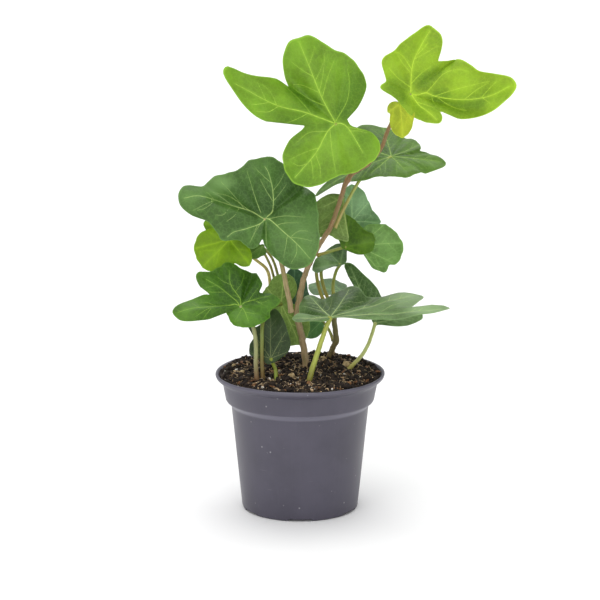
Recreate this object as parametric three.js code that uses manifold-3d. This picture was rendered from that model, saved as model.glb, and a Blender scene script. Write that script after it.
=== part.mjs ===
// Young ivy in a round nursery pot: a hollow pot, the soil plug, two woody stems with a
// side stem, and a petiole and a lobed blade for every leaf. Millimetres, +Z up; the
// origin is the centre of the pot's foot, on the ground, and -Y is the side looked at.
import * as THREE from 'three';
import { mergeVertices } from 'three/addons/utils/BufferGeometryUtils.js';
import { ParametricGeometry } from 'three/addons/geometries/ParametricGeometry.js';
import Module from 'manifold-3d';

const wasm = await Module();
wasm.setup();

// ---- driving dimensions ----
const POT_HEIGHT = 74;
const RIM_RADIUS = 45;
const BAND_RADIUS = 41.4;
const BAND_FOOT_RADIUS = 39.6;
const BODY_RADIUS = 36.6;
const FOOT_RADIUS = 31;
const BAND_TOP = 69.5;
const BAND_FOOT = 57.5;
const BODY_TOP = 54.5;
const WALL = 1.1;
const FLOOR = 2.2;
const POT_SIDES = 48;
const SLOTS = 6;
const SLOT_WIDTH = 12;
const SLOT_HEIGHT = 1.3;

const GAP = 0.3;
const SOIL_EDGE = 72.4;
const SOIL_MOUND = 2.6;
const PLANTED = 5;

const BLADE_THICKNESS = 0.6;
const EDGE_THICKNESS = 0.3;
const SPOKE_STEP = 10;
const BLADE_ROWS = 3;
const LEAST_RADIUS = 1.2;
const LEAST_SLIM = 0.3;
const TIP_POINT = 0.06;
const TIP_SPREAD = 0.15;
const JOINT = 1.6;

const rad = THREE.MathUtils.degToRad;
const part = new THREE.Group();

const finishes = {
  pot: { color: '#55535e', roughness: 0.5, metalness: 0 },
  soil: { color: '#2a221a', roughness: 0.95, metalness: 0 },
  bark: { color: '#8f6a50', roughness: 0.7, metalness: 0 },
  petiole: { color: '#9aa542', roughness: 0.5, metalness: 0 },
  youngLeaf: { color: '#86ae3c', roughness: 0.45, metalness: 0 },
  oldLeaf: { color: '#4f7a3e', roughness: 0.4, metalness: 0 },
};

function add(name, geometry, finish) {
  const material = new THREE.MeshStandardMaterial(finishes[finish]);
  geometry.computeVertexNormals();
  const mesh = new THREE.Mesh(geometry, material);
  mesh.name = name;
  part.add(mesh);
}

// Welds a geometry and drops the faces that have closed up to a line at a pole.
function weld(geometry) {
  const bare = geometry.clone();
  bare.deleteAttribute('normal');
  bare.deleteAttribute('uv');
  const merged = mergeVertices(bare, 1e-3);
  const kept = [];
  const index = merged.index.array;
  for (let i = 0; i < index.length; i += 3) {
    const [a, b, c] = [index[i], index[i + 1], index[i + 2]];
    if (a !== b && b !== c && c !== a) kept.push(a, b, c);
  }
  merged.setIndex(kept);
  return merged;
}

function toManifold(geometry) {
  const welded = weld(geometry);
  return new wasm.Manifold(new wasm.Mesh({
    numProp: 3,
    vertProperties: new Float32Array(welded.attributes.position.array),
    triVerts: new Uint32Array(welded.index.array),
  }));
}

function fromManifold(solid) {
  const mesh = solid.getMesh();
  const geometry = new THREE.BufferGeometry();
  geometry.setAttribute('position', new THREE.BufferAttribute(mesh.vertProperties, 3));
  geometry.setIndex(new THREE.BufferAttribute(mesh.triVerts, 1));
  return geometry;
}

// A body of revolution about +Z from [radius, height] pairs, listed from the axis and
// back to the axis with the solid on the left.
function turned(profile) {
  const points = profile.map(([r, z]) => new THREE.Vector2(r, z));
  return new THREE.LatheGeometry(points, POT_SIDES).rotateX(Math.PI / 2);
}

// ---- pot ----
const innerTop = BAND_RADIUS - WALL;
const innerBand = BAND_FOOT_RADIUS - WALL;
const innerBody = BODY_RADIUS - WALL;
const innerFoot = FOOT_RADIUS - WALL;

function pot() {
  const shell = toManifold(turned([
    [0, 0],
    [FOOT_RADIUS - 1.2, 0],
    [FOOT_RADIUS - 0.3, 0.4],
    [FOOT_RADIUS, 1.4],
    [BODY_RADIUS, BODY_TOP],
    [BAND_FOOT_RADIUS - 0.8, BAND_FOOT - 0.6],
    [BAND_FOOT_RADIUS, BAND_FOOT],
    [BAND_RADIUS, BAND_TOP - 1],
    [RIM_RADIUS - 0.8, POT_HEIGHT - 2.2],
    [RIM_RADIUS, POT_HEIGHT - 1],
    [RIM_RADIUS - 0.1, POT_HEIGHT - 0.3],
    [RIM_RADIUS - 0.6, POT_HEIGHT],
    [RIM_RADIUS - 1.2, POT_HEIGHT - 0.4],
    [innerTop, BAND_TOP - 1],
    [innerBand, BAND_FOOT],
    [innerBody, BODY_TOP - 1],
    [innerFoot, FLOOR],
    [0, FLOOR],
  ]));
  let cut = null;
  for (let i = 0; i < SLOTS; i++) {
    const turn = (i / SLOTS) * 2 * Math.PI - Math.PI / 2;
    const notch = new THREE.BoxGeometry(16, SLOT_WIDTH, 2 * SLOT_HEIGHT)
      .translate(FOOT_RADIUS, 0, 0)
      .rotateZ(turn);
    const hole = new THREE.CylinderGeometry(2.6, 2.6, 3 * FLOOR, 16)
      .rotateX(Math.PI / 2)
      .translate(FOOT_RADIUS * 0.62, 0, FLOOR / 2)
      .rotateZ(turn + Math.PI / SLOTS);
    const pair = toManifold(notch).add(toManifold(hole));
    cut = cut ? cut.add(pair) : pair;
  }
  return fromManifold(shell.subtract(cut));
}

// ---- shoots: stems and petioles ----
// A tapering round shoot along a smooth curve, closed by a flat cap at each end.
function shoot(points, startRadius, endRadius, sides, steps) {
  const curve = new THREE.CatmullRomCurve3(points.map((p) => new THREE.Vector3(...p)));
  const frames = curve.computeFrenetFrames(steps, false);
  const rows = steps + 2;
  return weld(new ParametricGeometry((round, along, target) => {
    const row = Math.round(along * rows);
    const at = THREE.MathUtils.clamp(row - 1, 0, steps);
    const capped = row === 0 || row === rows;
    const radius = capped ? 0 : THREE.MathUtils.lerp(startRadius, endRadius, at / steps);
    const angle = (Math.round(round * sides) % sides) / sides * 2 * Math.PI;
    target.copy(curve.getPointAt(at / steps));
    target.addScaledVector(frames.normals[at], radius * Math.cos(angle));
    target.addScaledVector(frames.binormals[at], radius * Math.sin(angle));
  }, sides, rows));
}

// Adds the buried foot below a shoot that rises from the soil.
const planted = (points) => {
  const [x, y, z] = points[0];
  return [[x, y, z - PLANTED], [x, y, z - PLANTED / 3], ...points];
};

const stems = {
  stem_main: {
    radii: [2.0, 1.1],
    points: planted([
      [3.7, 3, 72.5], [2.1, 2, 85.4], [0.5, 1, 95.5], [-1.6, 0.4, 104], [-0.9, 0.6, 110],
      [0.2, 0.8, 116.2], [1.8, 0.8, 124], [5.3, 0, 133.3], [10.6, 0, 143.5],
      [15.8, 0, 152.1], [20.5, -1, 165.2], [24.1, -2, 176.6], [27.8, -1, 181.7],
      [34.6, 0, 185.8], [41.9, 0, 193.8], [46.5, -2, 205.8], [51.3, -3, 213.5],
    ]),
    steps: 40,
    sides: 8,
  },
  stem_right: {
    radii: [1.6, 1.4],
    points: planted([
      [14.6, 22.4, 72.5], [15.7, 22.4, 76.5], [17.3, 22.4, 80.4], [19.4, 22.4, 85.9],
      [18.9, 22.4, 92.6], [18.3, 22.4, 98.1], [17.2, 22.4, 104.3],
    ]),
    steps: 12,
    sides: 8,
  },
};

// ---- leaves ----
// facing: azimuth from -Y towards +X, then elevation, of the direction the upper face
// looks. lobes: [angle round the hub, length, width, tip lift / length, sideways bend].
// petiole: where the leaf stalk starts and passes; it ends under the hub.
const leaves = {
  top_left: {
    hub: [19, -16, 210], facing: [0, 12], cup: 0.1, waist: 3, finish: 'youngLeaf',
    lobes: [[165, 63, 24, 0.1, -11], [112, 49, 46, 0, 0], [48, 27, 24, -0.1, 0],
      [231, 38, 31, 0, 0], [265, 30, 26, 0, 0], [316, 25, 24, -0.1, 0]],
    petiole: [[27.5, -3.6, 182.5], [25, -8, 190], [22, -12, 200]], radii: [0.9, 0.8],
  },
  top_right: {
    hub: [58, -8, 225], facing: [12, 8], cup: 0.12, waist: 2.6, finish: 'youngLeaf',
    lobes: [[84, 36, 30, 0, -12], [131, 23, 24, 0, 0], [-4, 56, 36, -0.1, 8],
      [317, 21, 13, -0.1, 0], [162, 17, 8, 0.2, 0]],
    petiole: [[52.3, -4, 215.2], [55.1, -5, 220]], radii: [0.9, 0.8],
  },
  top_bud: {
    hub: [52, -10, 220], facing: [0, 15], cup: 0, finish: 'youngLeaf',
    lobes: [[273, 18, 13, -0.1, 0], [215, 8, 7, 0, 0], [305, 11, 8, 0, 0]],
    petiole: [[50.4, -5.2, 213.8], [51.5, -7.5, 217]], radii: [0.6, 0.5],
  },
  upper_right: {
    hub: [49, 19, 187], facing: [5, 66], cup: 0, finish: 'oldLeaf',
    lobes: [[355, 28, 17, -0.1, 0], [33, 21, 14, 0, 0], [92, 30, 22, 0, 0],
      [147, 32, 26, 0, 0], [205, 46, 11, -0.2, 0], [228, 19, 13, -0.1, 0],
      [298, 14, 13, -0.1, 0]],
    petiole: [[18.4, 0.8, 152], [23.7, 3, 163], [31.6, 6, 176.7], [38, 13, 182]],
    radii: [0.9, 0.8],
  },
  big_left: {
    hub: [-18, -12, 160], facing: [-8, 28], cup: 0.25, waist: 1.6, finish: 'oldLeaf',
    lobes: [[90, 32, 34, 0, 0], [146, 34, 24, 0, 0], [178, 46, 24, -0.1, -10],
      [214, 22, 24, -0.1, 0], [253, 18, 14, -0.1, 0], [311, 38, 31, -0.1, 4],
      [22, 30, 24, -0.1, 0],
      [352, 29, 26, -0.1, 0]],
    petiole: [[-4.6, 0.2, 106.5], [-5.6, -0.6, 113], [-6.9, -1, 118.9], [-8.5, -1, 127.5],
      [-11.1, -2, 138], [-14.7, -5, 148.8]],
    radii: [1.4, 1.0],
  },
  young_left: {
    hub: [-37, 0, 146], facing: [-15, 20], cup: 0, finish: 'youngLeaf',
    lobes: [[231, 21, 24, 0, 0], [199, 20, 18, 0, 0], [312, 18, 12, -0.1, 0]],
    petiole: planted([[-15, 16, 72.5], [-15.5, 14, 96], [-15.7, 14, 110], [-16, 13, 119.5],
      [-17.6, 12, 126.9], [-25.5, 8, 134.8], [-31, 4, 140.5]]),
    radii: [1.2, 0.7],
  },
  young_back: {
    hub: [-40, 8, 150], facing: [-10, 25], cup: 0, finish: 'youngLeaf',
    lobes: [[165, 12, 10, 0, 0], [215, 11, 9, 0, 0]],
    petiole: planted([[-12, 19, 72.5], [-12.6, 17.5, 96], [-12.9, 17, 110], [-13.9, 16, 121.3],
      [-17, 13, 131.7], [-24, 12, 142]]),
    radii: [0.9, 0.6],
  },
  small_inner: {
    hub: [-20, 6, 141], facing: [0, 30], cup: 0, finish: 'oldLeaf',
    lobes: [[215, 10, 9, 0, 0], [250, 6, 7, 0, 0]],
    petiole: planted([[-8.5, 21, 72.5], [-9.8, 20, 96], [-10.6, 19.5, 110], [-11.8, 19, 122],
      [-15, 14, 133]]),
    radii: [0.9, 0.7],
  },
  lower_left: {
    hub: [-31, -22, 115], facing: [-5, 50], cup: 0.15, waist: 1.8, finish: 'oldLeaf',
    lobes: [[191, 36, 12, -0.1, 0], [153, 26, 20, 0.1, -10], [104, 24, 26, 0.1, 0],
      [51, 15, 18, 0.1, 0], [8, 21, 12, 0, 0], [285, 13, 24, -0.2, 0],
      [241, 10, 14, -0.2, 0], [327, 15, 14, -0.2, 0]],
    petiole: planted([[-22.6, -20.5, 72.6], [-23.1, -20.5, 82.9], [-23.1, -20.5, 93.7],
      [-24.1, -20.6, 101.9], [-26.7, -20.6, 109]]),
    radii: [1.3, 1.0],
  },
  low_front: {
    hub: [-16, -16, 86], facing: [-5, 12], cup: 0, finish: 'oldLeaf',
    lobes: [[108, 22, 22, 0, 0], [155, 14, 18, 0, 0], [68, 20, 22, 0, 0],
      [23, 16, 20, 0, 0], [242, 6, 10, 0, 0], [344, 8, 10, 0, 0]],
    petiole: planted([[-12.6, -17.6, 72.5], [-13, -15.2, 79]]), radii: [1.1, 0.9],
  },
  low_back: {
    hub: [-10, 8, 109], facing: [180, -10], cup: 0, finish: 'oldLeaf',
    lobes: [[97, 17, 16, 0, 0], [47, 12, 16, 0, 0], [245, 24, 22, 0, 0],
      [266, 22, 20, 0, 0]],
    petiole: planted([[-19.4, -20, 72.5], [-20, -19.5, 84], [-20, -19, 95],
      [-19.6, -16, 104], [-17, -8, 110]]),
    radii: [1.1, 0.9],
  },
  front_right: {
    hub: [16, -20, 109], facing: [0, 80], cup: 0, finish: 'oldLeaf',
    lobes: [[183, 20, 13, -0.05, 0], [116, 27, 22, 0, 0], [73, 40, 30, 0, 0],
      [34, 59, 28, 0, 0], [7, 63, 14, 0, 0]],
    petiole: planted([[4.2, -26.5, 72.2], [6.3, -26, 81.6], [8.4, -25, 88.3],
      [10.5, -24, 94.5], [13.6, -21.6, 103.2]]),
    radii: [1.5, 1.1],
  },
  low_right: {
    hub: [40, 22, 96], facing: [-10, 35], cup: 0, finish: 'oldLeaf',
    lobes: [[16, 28, 13, -0.1, 0], [113, 36, 17, 0.1, 0], [78, 19, 14, 0.1, 0]],
    petiole: planted([[25.6, 0.7, 74.4], [29, 3.4, 77.6], [33.2, 9, 80.9], [37.1, 16, 86.1]]),
    radii: [1.2, 0.9],
  },
  centre_right: {
    hub: [22, 12, 131], facing: [-20, 50], cup: 0, finish: 'oldLeaf',
    lobes: [[200, 19, 15, -0.1, 0], [140, 15, 14, 0, 0], [91, 10, 10, 0, 0]],
    petiole: [[19, 21.6, 105], [17.7, 20, 115.8], [19.2, 16, 124.9]], radii: [1.0, 0.8],
  },
  mid_right: {
    hub: [31, 20, 138], facing: [10, 12], cup: 0, finish: 'oldLeaf',
    lobes: [[1, 25, 22, -0.1, 0], [331, 22, 16, -0.1, 0], [309, 19, 16, -0.1, 0],
      [36, 19, 16, 0, 0]],
    petiole: [[17, 24.2, 105], [13.4, 24, 112.6], [11.4, 23.6, 123.6], [14, 23.2, 131],
      [21, 22.8, 136.5]],
    radii: [1.0, 0.8],
  },
  mid_fold: {
    hub: [24, 12, 140], facing: [30, 10], cup: 0, finish: 'oldLeaf',
    lobes: [[76, 16, 12, 0, 0], [3, 19, 15, 0, 0], [334, 9, 9, 0, 0]],
    petiole: [[9.4, 2.6, 137], [14, 8, 137.2], [19.5, 13.4, 137.8]], radii: [0.9, 0.8],
  },
  mid_back: {
    hub: [28, 28, 150], facing: [15, 12], cup: 0, finish: 'oldLeaf',
    lobes: [[87, 20, 18, 0, 0], [356, 16, 13, 0, 0], [47, 14, 14, 0, 0]],
    petiole: [[14.4, 22, 105], [10.8, 21.6, 112.6], [8.8, 20, 124], [10, 25, 129.5],
      [17, 29, 132], [24, 32, 138], [27.5, 31.5, 145]],
    radii: [1.0, 0.8],
  },
  behind_stem: {
    hub: [22, 10, 166], facing: [180, -15], cup: 0, finish: 'oldLeaf',
    lobes: [[335, 12, 12, 0, 0], [292, 24, 14, 0, 0], [263, 23, 8, 0, 0]],
    petiole: [[21.6, 1.4, 168], [22, 5, 168.5]], radii: [0.8, 0.7],
  },
  far_right: {
    hub: [23, 38, 109], facing: [0, 75], cup: 0, finish: 'oldLeaf',
    lobes: [[156, 20, 22, 0, 0], [120, 12, 12, 0, 0]],
    petiole: [[18.8, 24.9, 97], [20, 30, 101], [22.2, 36, 105.5]], radii: [0.9, 0.8],
  },
  far_low: {
    hub: [12, 30, 95], facing: [10, 20], cup: 0, finish: 'oldLeaf',
    lobes: [[223, 13, 10, 0, 0], [183, 10, 9, 0, 0]],
    petiole: [[18, 25, 85], [15.5, 30, 90]], radii: [0.9, 0.7],
  },
  between_stems: {
    hub: [-2, 14, 107], facing: [0, 20], cup: 0, finish: 'oldLeaf',
    lobes: [[93, 21, 14, -0.1, 0], [53, 10, 9, 0, 0]],
    petiole: [[2, 3, 109], [3.2, 8.5, 108], [0.2, 15, 104.2]], radii: [0.9, 0.8],
  },
};

// Unit vectors of a blade: out of its upper face, up the leaf and to its right.
function axesOf([azimuth, elevation]) {
  const [a, e] = [rad(azimuth), rad(elevation)];
  const out = new THREE.Vector3(
    Math.cos(e) * Math.sin(a), -Math.cos(e) * Math.cos(a), Math.sin(e));
  const up = new THREE.Vector3(
    -Math.sin(e) * Math.sin(a), Math.sin(e) * Math.cos(a), Math.cos(e));
  return { out, up, right: new THREE.Vector3().crossVectors(up, out) };
}

// How far one lobe reaches from the hub in a direction: an ellipse through the hub,
// drawn in towards the hub by a waist above 1.
function reach([angle, length, width], direction, waist) {
  const turn = direction - rad(angle);
  const off = Math.atan2(Math.sin(turn), Math.cos(turn));
  const c = Math.cos(off);
  if (c <= 0) return 0;
  const slim = Math.max((length / width) ** 2 - (waist - 1) / 2, LEAST_SLIM);
  const oval = c ** waist / (c * c + slim * (1 - c * c));
  return length * oval * (1 - TIP_POINT + TIP_POINT * Math.exp(-Math.abs(off) / TIP_SPREAD));
}

const OUTLINE_POWER = 12;
const BLEND_POWER = 3;
const KEEL = 0.1;
const RIPPLES = 7;
const RIPPLE_DEPTH = 0.03;

// A point of the upper face: direction round the hub, and 0..1 from hub to edge.
function bladePoint(leaf, axes, direction, t, target) {
  const reaches = leaf.lobes.map((lobe) => reach(lobe, direction, leaf.waist ?? 1.4));
  const outline = reaches.reduce((sum, r) => sum + r ** OUTLINE_POWER, 0) ** (1 / OUTLINE_POWER);
  const rho = t * Math.max(outline, LEAST_RADIUS);
  const weights = reaches.map((r) => (r + 0.3) ** BLEND_POWER);
  const total = weights.reduce((sum, w) => sum + w, 0);
  let lift = leaf.cup * rho + RIPPLE_DEPTH * rho * t * Math.sin(RIPPLES * direction);
  let bend = 0;
  leaf.lobes.forEach(([angle, length, , tipLift, tipBend], i) => {
    const share = weights[i] / total;
    const across = Math.abs(Math.sin(direction - rad(angle)));
    lift += share * (tipLift * rho * rho / length + KEEL * rho * across);
    bend += share * rad(tipBend) * rho / length;
  });
  target.set(...leaf.hub)
    .addScaledVector(axes.right, rho * Math.cos(direction + bend))
    .addScaledVector(axes.up, rho * Math.sin(direction + bend))
    .addScaledVector(axes.out, lift);
}

// Directions round the hub, with one exactly along each lobe and closer ones beside it.
function spokesOf(leaf) {
  const tips = leaf.lobes.map(([angle]) => (angle + 360) % 360).sort((a, b) => a - b);
  return tips.flatMap((angle, i) => {
    const span = (tips[(i + 1) % tips.length] - angle + 360) % 360;
    const steps = Math.max(2, Math.round(span / SPOKE_STEP));
    const eased = (k) => (1 - Math.cos(Math.PI * k / steps)) / 2;
    return Array.from({ length: steps }, (_, k) => rad(angle + span * eased(k)));
  });
}

// The closed blade: out over the upper face, round the edge and back under it.
function blade(leaf) {
  const axes = axesOf(leaf.facing);
  const spokes = spokesOf(leaf).reverse();
  const rows = 2 * BLADE_ROWS + 1;
  return weld(new ParametricGeometry((round, along, target) => {
    const row = Math.round(along * rows);
    const under = row > BLADE_ROWS;
    const t = (under ? rows - row : row) / BLADE_ROWS;
    const direction = spokes[Math.round(round * spokes.length) % spokes.length];
    bladePoint(leaf, axes, direction, t, target);
    const thickness = THREE.MathUtils.lerp(BLADE_THICKNESS, EDGE_THICKNESS, t);
    if (under) target.addScaledVector(axes.out, -thickness);
  }, spokes.length, rows));
}

function petiole(leaf) {
  const { out } = axesOf(leaf.facing);
  const end = new THREE.Vector3(...leaf.hub).addScaledVector(out, -JOINT);
  const points = [...leaf.petiole, end.toArray()];
  const steps = Math.max(4, 2 * points.length - 2);
  return shoot(points, leaf.radii[0], leaf.radii[1], 6, steps);
}

// ---- soil ----
const soilTop = (x, y) => {
  const r = Math.hypot(x, y) / innerTop;
  const clods = Math.sin(0.9 * x + 1) * Math.cos(0.8 * y) + Math.sin(0.37 * x - 0.51 * y);
  return SOIL_EDGE + SOIL_MOUND * (1 - r * r) + 0.35 * clods;
};

function soil() {
  const plug = turned([
    [0, FLOOR + GAP],
    [innerFoot - GAP, FLOOR + GAP],
    [innerBody - GAP, BODY_TOP - 1 + GAP],
    [innerBand - GAP, BAND_FOOT + GAP],
    [innerTop - GAP, BAND_TOP - 1],
    [innerTop + 1.4, SOIL_EDGE],
    [innerTop * 0.84, SOIL_EDGE],
    [innerTop * 0.63, SOIL_EDGE],
    [innerTop * 0.42, SOIL_EDGE],
    [innerTop * 0.21, SOIL_EDGE],
    [0, SOIL_EDGE],
  ]);
  const spots = plug.attributes.position;
  for (let i = 0; i < spots.count; i++) {
    const [x, y, z] = [spots.getX(i), spots.getY(i), spots.getZ(i)];
    if (z > SOIL_EDGE - GAP && Math.hypot(x, y) < innerTop) spots.setZ(i, soilTop(x, y));
  }
  let solid = toManifold(plug);
  const rooted = [
    ...Object.values(stems).map((stem) => [stem.points[0], stem.radii[0]]),
    ...Object.values(leaves).filter((leaf) => leaf.petiole[0][2] < SOIL_EDGE)
      .map((leaf) => [leaf.petiole[0], leaf.radii[0]]),
  ];
  for (const [[x, y, z], radius] of rooted) {
    const wide = radius + 2 * GAP;
    const hole = new THREE.CylinderGeometry(wide, wide, 4 * PLANTED, 10)
      .rotateX(Math.PI / 2)
      .translate(x, y, z - GAP + 2 * PLANTED);
    solid = solid.subtract(toManifold(hole));
  }
  return fromManifold(solid);
}

// ---- the potted plant ----
add('pot', pot(), 'pot');
add('soil', soil(), 'soil');
for (const [name, stem] of Object.entries(stems)) {
  add(name, shoot(stem.points, ...stem.radii, stem.sides, stem.steps), 'bark');
}
for (const [name, leaf] of Object.entries(leaves)) {
  add(`petiole_${name}`, petiole(leaf), 'petiole');
  add(`leaf_${name}`, blade(leaf), leaf.finish);
}

export default part;
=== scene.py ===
import math
from collections import namedtuple
from dataclasses import dataclass
from itertools import product

import bpy
import numpy as np
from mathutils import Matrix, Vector
from mathutils.bvhtree import BVHTree


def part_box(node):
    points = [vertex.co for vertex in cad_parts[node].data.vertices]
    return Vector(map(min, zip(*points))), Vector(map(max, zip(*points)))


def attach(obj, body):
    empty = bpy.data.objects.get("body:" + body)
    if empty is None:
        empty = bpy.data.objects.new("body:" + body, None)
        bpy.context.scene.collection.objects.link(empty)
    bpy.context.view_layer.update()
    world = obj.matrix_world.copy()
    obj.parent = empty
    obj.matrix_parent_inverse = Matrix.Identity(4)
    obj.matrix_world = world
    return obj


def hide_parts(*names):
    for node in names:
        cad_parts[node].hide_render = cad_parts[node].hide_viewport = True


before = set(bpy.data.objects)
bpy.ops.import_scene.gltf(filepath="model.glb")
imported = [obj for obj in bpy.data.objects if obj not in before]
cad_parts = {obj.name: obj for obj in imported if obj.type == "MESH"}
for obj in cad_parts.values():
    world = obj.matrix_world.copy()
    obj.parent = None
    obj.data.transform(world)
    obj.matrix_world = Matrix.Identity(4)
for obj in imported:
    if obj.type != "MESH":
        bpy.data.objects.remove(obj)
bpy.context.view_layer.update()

# Lengths in the tables are millimetres in the CAD frame; meshes are made in metres.
MM = 0.001


def linear(rgb):
    """0..255 screen colour as linear RGBA."""
    c = np.array(rgb, float) / 255
    c = np.where(c <= 0.04045, c / 12.92, ((c + 0.055) / 1.055) ** 2.4)
    return (*map(float, c), 1.0)


# ---------------------------------------------------------------- node materials
class Shader:
    """A node material built call by call around one Principled shader."""

    def __init__(self, name, **body):
        self.material = bpy.data.materials.new(name)
        self.material.use_nodes = True
        self.tree = self.material.node_tree
        self.tree.nodes.clear()
        out = self.tree.nodes.new("ShaderNodeOutputMaterial")
        self.body = self.tree.nodes.new("ShaderNodeBsdfPrincipled")
        self.tree.links.new(self.body.outputs[0], out.inputs[0])
        for key, value in body.items():
            self.put(self.body.inputs[key.replace("_", " ")], value)

    def put(self, socket, value):
        if isinstance(value, bpy.types.NodeSocket):
            self.tree.links.new(value, socket)
        else:
            socket.default_value = value

    def node(self, kind, inputs=(), out=0, **settings):
        made = self.tree.nodes.new("ShaderNode" + kind)
        for key, value in settings.items():
            setattr(made, key, value)
        for key, value in dict(inputs).items():
            self.put(made.inputs[key], value)
        return made.outputs[out]

    def math(self, operation, *values):
        return self.node("Math", dict(enumerate(values)), operation=operation)

    def times(self, a, b):
        return self.math("MULTIPLY", a, b)

    def uv(self, name):
        return self.node("UVMap", uv_map=name)

    def split(self, vector):
        made = self.tree.nodes.new("ShaderNodeSeparateXYZ")
        self.put(made.inputs[0], vector)
        return made.outputs

    def fade(self, value, low, high, to_low=0.0, to_high=1.0):
        return self.node("MapRange", {0: value, 1: low, 2: high, 3: to_low, 4: to_high},
                         interpolation_type="SMOOTHSTEP")

    def mix(self, factor, a, b, blend="MIX"):
        return self.node("Mix", {0: factor, 6: a, 7: b}, out=2, data_type="RGBA",
                         blend_type=blend)

    def layer(self, colour, mask, amount, over):
        """colour with another laid over it where the mask is up, as far as amount."""
        return self.mix(self.times(mask, amount), colour, over)

    def noise(self, vector, scale, detail, roughness, out=0):
        return self.node("TexNoise", {"Vector": vector, "Scale": scale, "Detail": detail,
                                      "Roughness": roughness}, out=out)

    def cells(self, vector, scale, feature="DISTANCE_TO_EDGE"):
        return self.node("TexVoronoi", {"Vector": vector, "Scale": scale}, feature=feature)

    def shift(self, vector, by, amount):
        """vector moved by a colour pattern, centred, times amount."""
        centred = self.node("VectorMath", {0: by, 1: (0.5, 0.5, 0.5)}, operation="SUBTRACT")
        scaled = self.node("VectorMath", {0: centred, 3: amount}, operation="SCALE")
        return self.node("VectorMath", {0: vector, 1: scaled}, operation="ADD")

    def bump(self, height, distance, strength=1.0):
        made = self.node("Bump", {"Height": height, "Distance": distance, "Strength": strength})
        self.put(self.body.inputs["Normal"], made)

    def colour(self, value):
        self.put(self.body.inputs["Base Color"], value)


# ---------------------------------------------------------------- meshes
def finish_piece(name, mesh, node, slot, *materials):
    """Links a mesh made in metres as a piece, which stands for the CAD node where it has one."""
    piece = bpy.data.objects.new(name, mesh)
    bpy.context.scene.collection.objects.link(piece)
    for material in materials:
        mesh.materials.append(material)
    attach(piece, "root")
    if node:
        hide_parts(node)
    return piece


def new_mesh(name, points, faces):
    mesh = bpy.data.meshes.new(name)
    mesh.from_pydata(np.asarray(points, float).tolist(), [], [list(f) for f in faces])
    mesh.validate()
    mesh.shade_smooth()
    return mesh


def add_uv(mesh, name, values):
    layer = mesh.uv_layers.new(name=name, do_init=False)
    layer.uv.foreach_set("vector", np.ascontiguousarray(values, np.float32).ravel())


def sharpen(mesh, mask):
    """Marks the edges whose two ends are both in the mask as sharp."""
    ends = np.empty(len(mesh.edges) * 2, np.int64)
    mesh.edges.foreach_get("vertices", ends)
    both = mask[ends.reshape(-1, 2)].all(1)
    layer = mesh.attributes.get("sharp_edge") or mesh.attributes.new(
        "sharp_edge", "BOOLEAN", "EDGE")
    layer.data.foreach_set("value", both)


# ---------------------------------------------------------------- the plant's table
SOIL_LEVEL = 75         # a shoot that starts lower than this comes out of the soil
BURIED = 5              # how far it goes on down into the soil
WAIST = 1.4             # how fast a lobe narrows towards the hub
KEEL = 0.1              # how far a lobe's sides stand up from its middle vein
OUTLINE_POWER = 12
BLEND_POWER = 3
VEIN_END = 0.88         # how far out the side veins run, hub 0 to margin 1
SPOKES = 320            # directions round the hub of a leaf with a drawn margin

Lobe = namedtuple("Lobe", "angle length width lift bend keel waist", defaults=(0, 0, KEEL, 0))


@dataclass
class Leaf:
    """One leaf with its petiole. Points in the blade are (x, y) from the hub, across and up."""
    hub: list               # where the petiole meets the blade
    facing: list            # where the upper face looks: azimuth from -Y to +X, elevation
    radii: list             # of the petiole at its foot and at the hub
    tone: tuple             # screen colour of the upper face
    lobes: list             # the numbers of a Lobe; lift is over the length, angles in degrees
    petiole: list           # its points, from the foot up
    under: tuple = None     # screen colour of the lower face, where it isn't worked out
    cup: float = 0          # rise of the blade per mm from the hub
    waist: float = WAIST
    young: bool = False
    edge: tuple = ()        # margin round the hub, where the lobes alone don't draw it
    creases: tuple = ()     # valleys: direction, spread, depth
    mains: tuple = ()       # middle veins, where they don't just follow the lobes
    sides: tuple = ()       # side veins, given one by one
    thin: float = 1         # how many more side veins grow by themselves
    vein: float = 1         # how far the veins stand out from the blade in colour
    painted_shade_and_sheen: tuple = ()     # x, y, size, and how much painted sheen (over 0) or painted shade (under 0)


# radii: (place along the stem 0..1, radius). knots: (place, extra radius, spread).
STEMS = {
    "stem_main": dict(
        radii=[(0, 2), (0.08, 1.8), (0.3, 1.6), (0.45, 1.25), (0.62, 1.2), (0.72, 1.3), (0.8, 1.15),
               (1, 0.95)],
        knots=[(0, 0.3, 6), (0.3, 0.3, 1.6), (0.53, 0.2, 1.5), (0.72, 0.35, 1.8), (0.8, 0.25, 1.8),
               (0.97, 0.4, 2)],
        points=[[3.7, 3, 72.5], [2.1, 2, 85.4], [0.5, 1, 95.5], [-1.6, 0.4, 104], [-0.9, 0.6, 110],
                [0.2, 0.8, 116.2], [1.8, 0.8, 124], [5.3, 0, 133.3], [10.6, 0, 143.5], [15.8, 0, 152.1],
                [20.5, -1, 165.2], [24.1, -2, 176.6], [27.8, -1, 181.7], [34.6, 0, 185.8],
                [41.9, 0, 193.8], [46.5, -2, 205.8], [51.3, -3, 213.5]]),
    "stem_right": dict(
        radii=((0, 1.6), (1, 1.4)),
        knots=[(0, 0.4, 5), (0.5, 0.3, 1.5), (0.97, 0.5, 2)],
        points=[[14.6, 22.4, 72.5], [15.7, 22.4, 76.5], [17.3, 22.4, 80.4], [19.4, 22.4, 85.9],
                [18.9, 22.4, 92.6], [18.3, 22.4, 98.1], [17.2, 22.4, 104.3]]),
}

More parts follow.
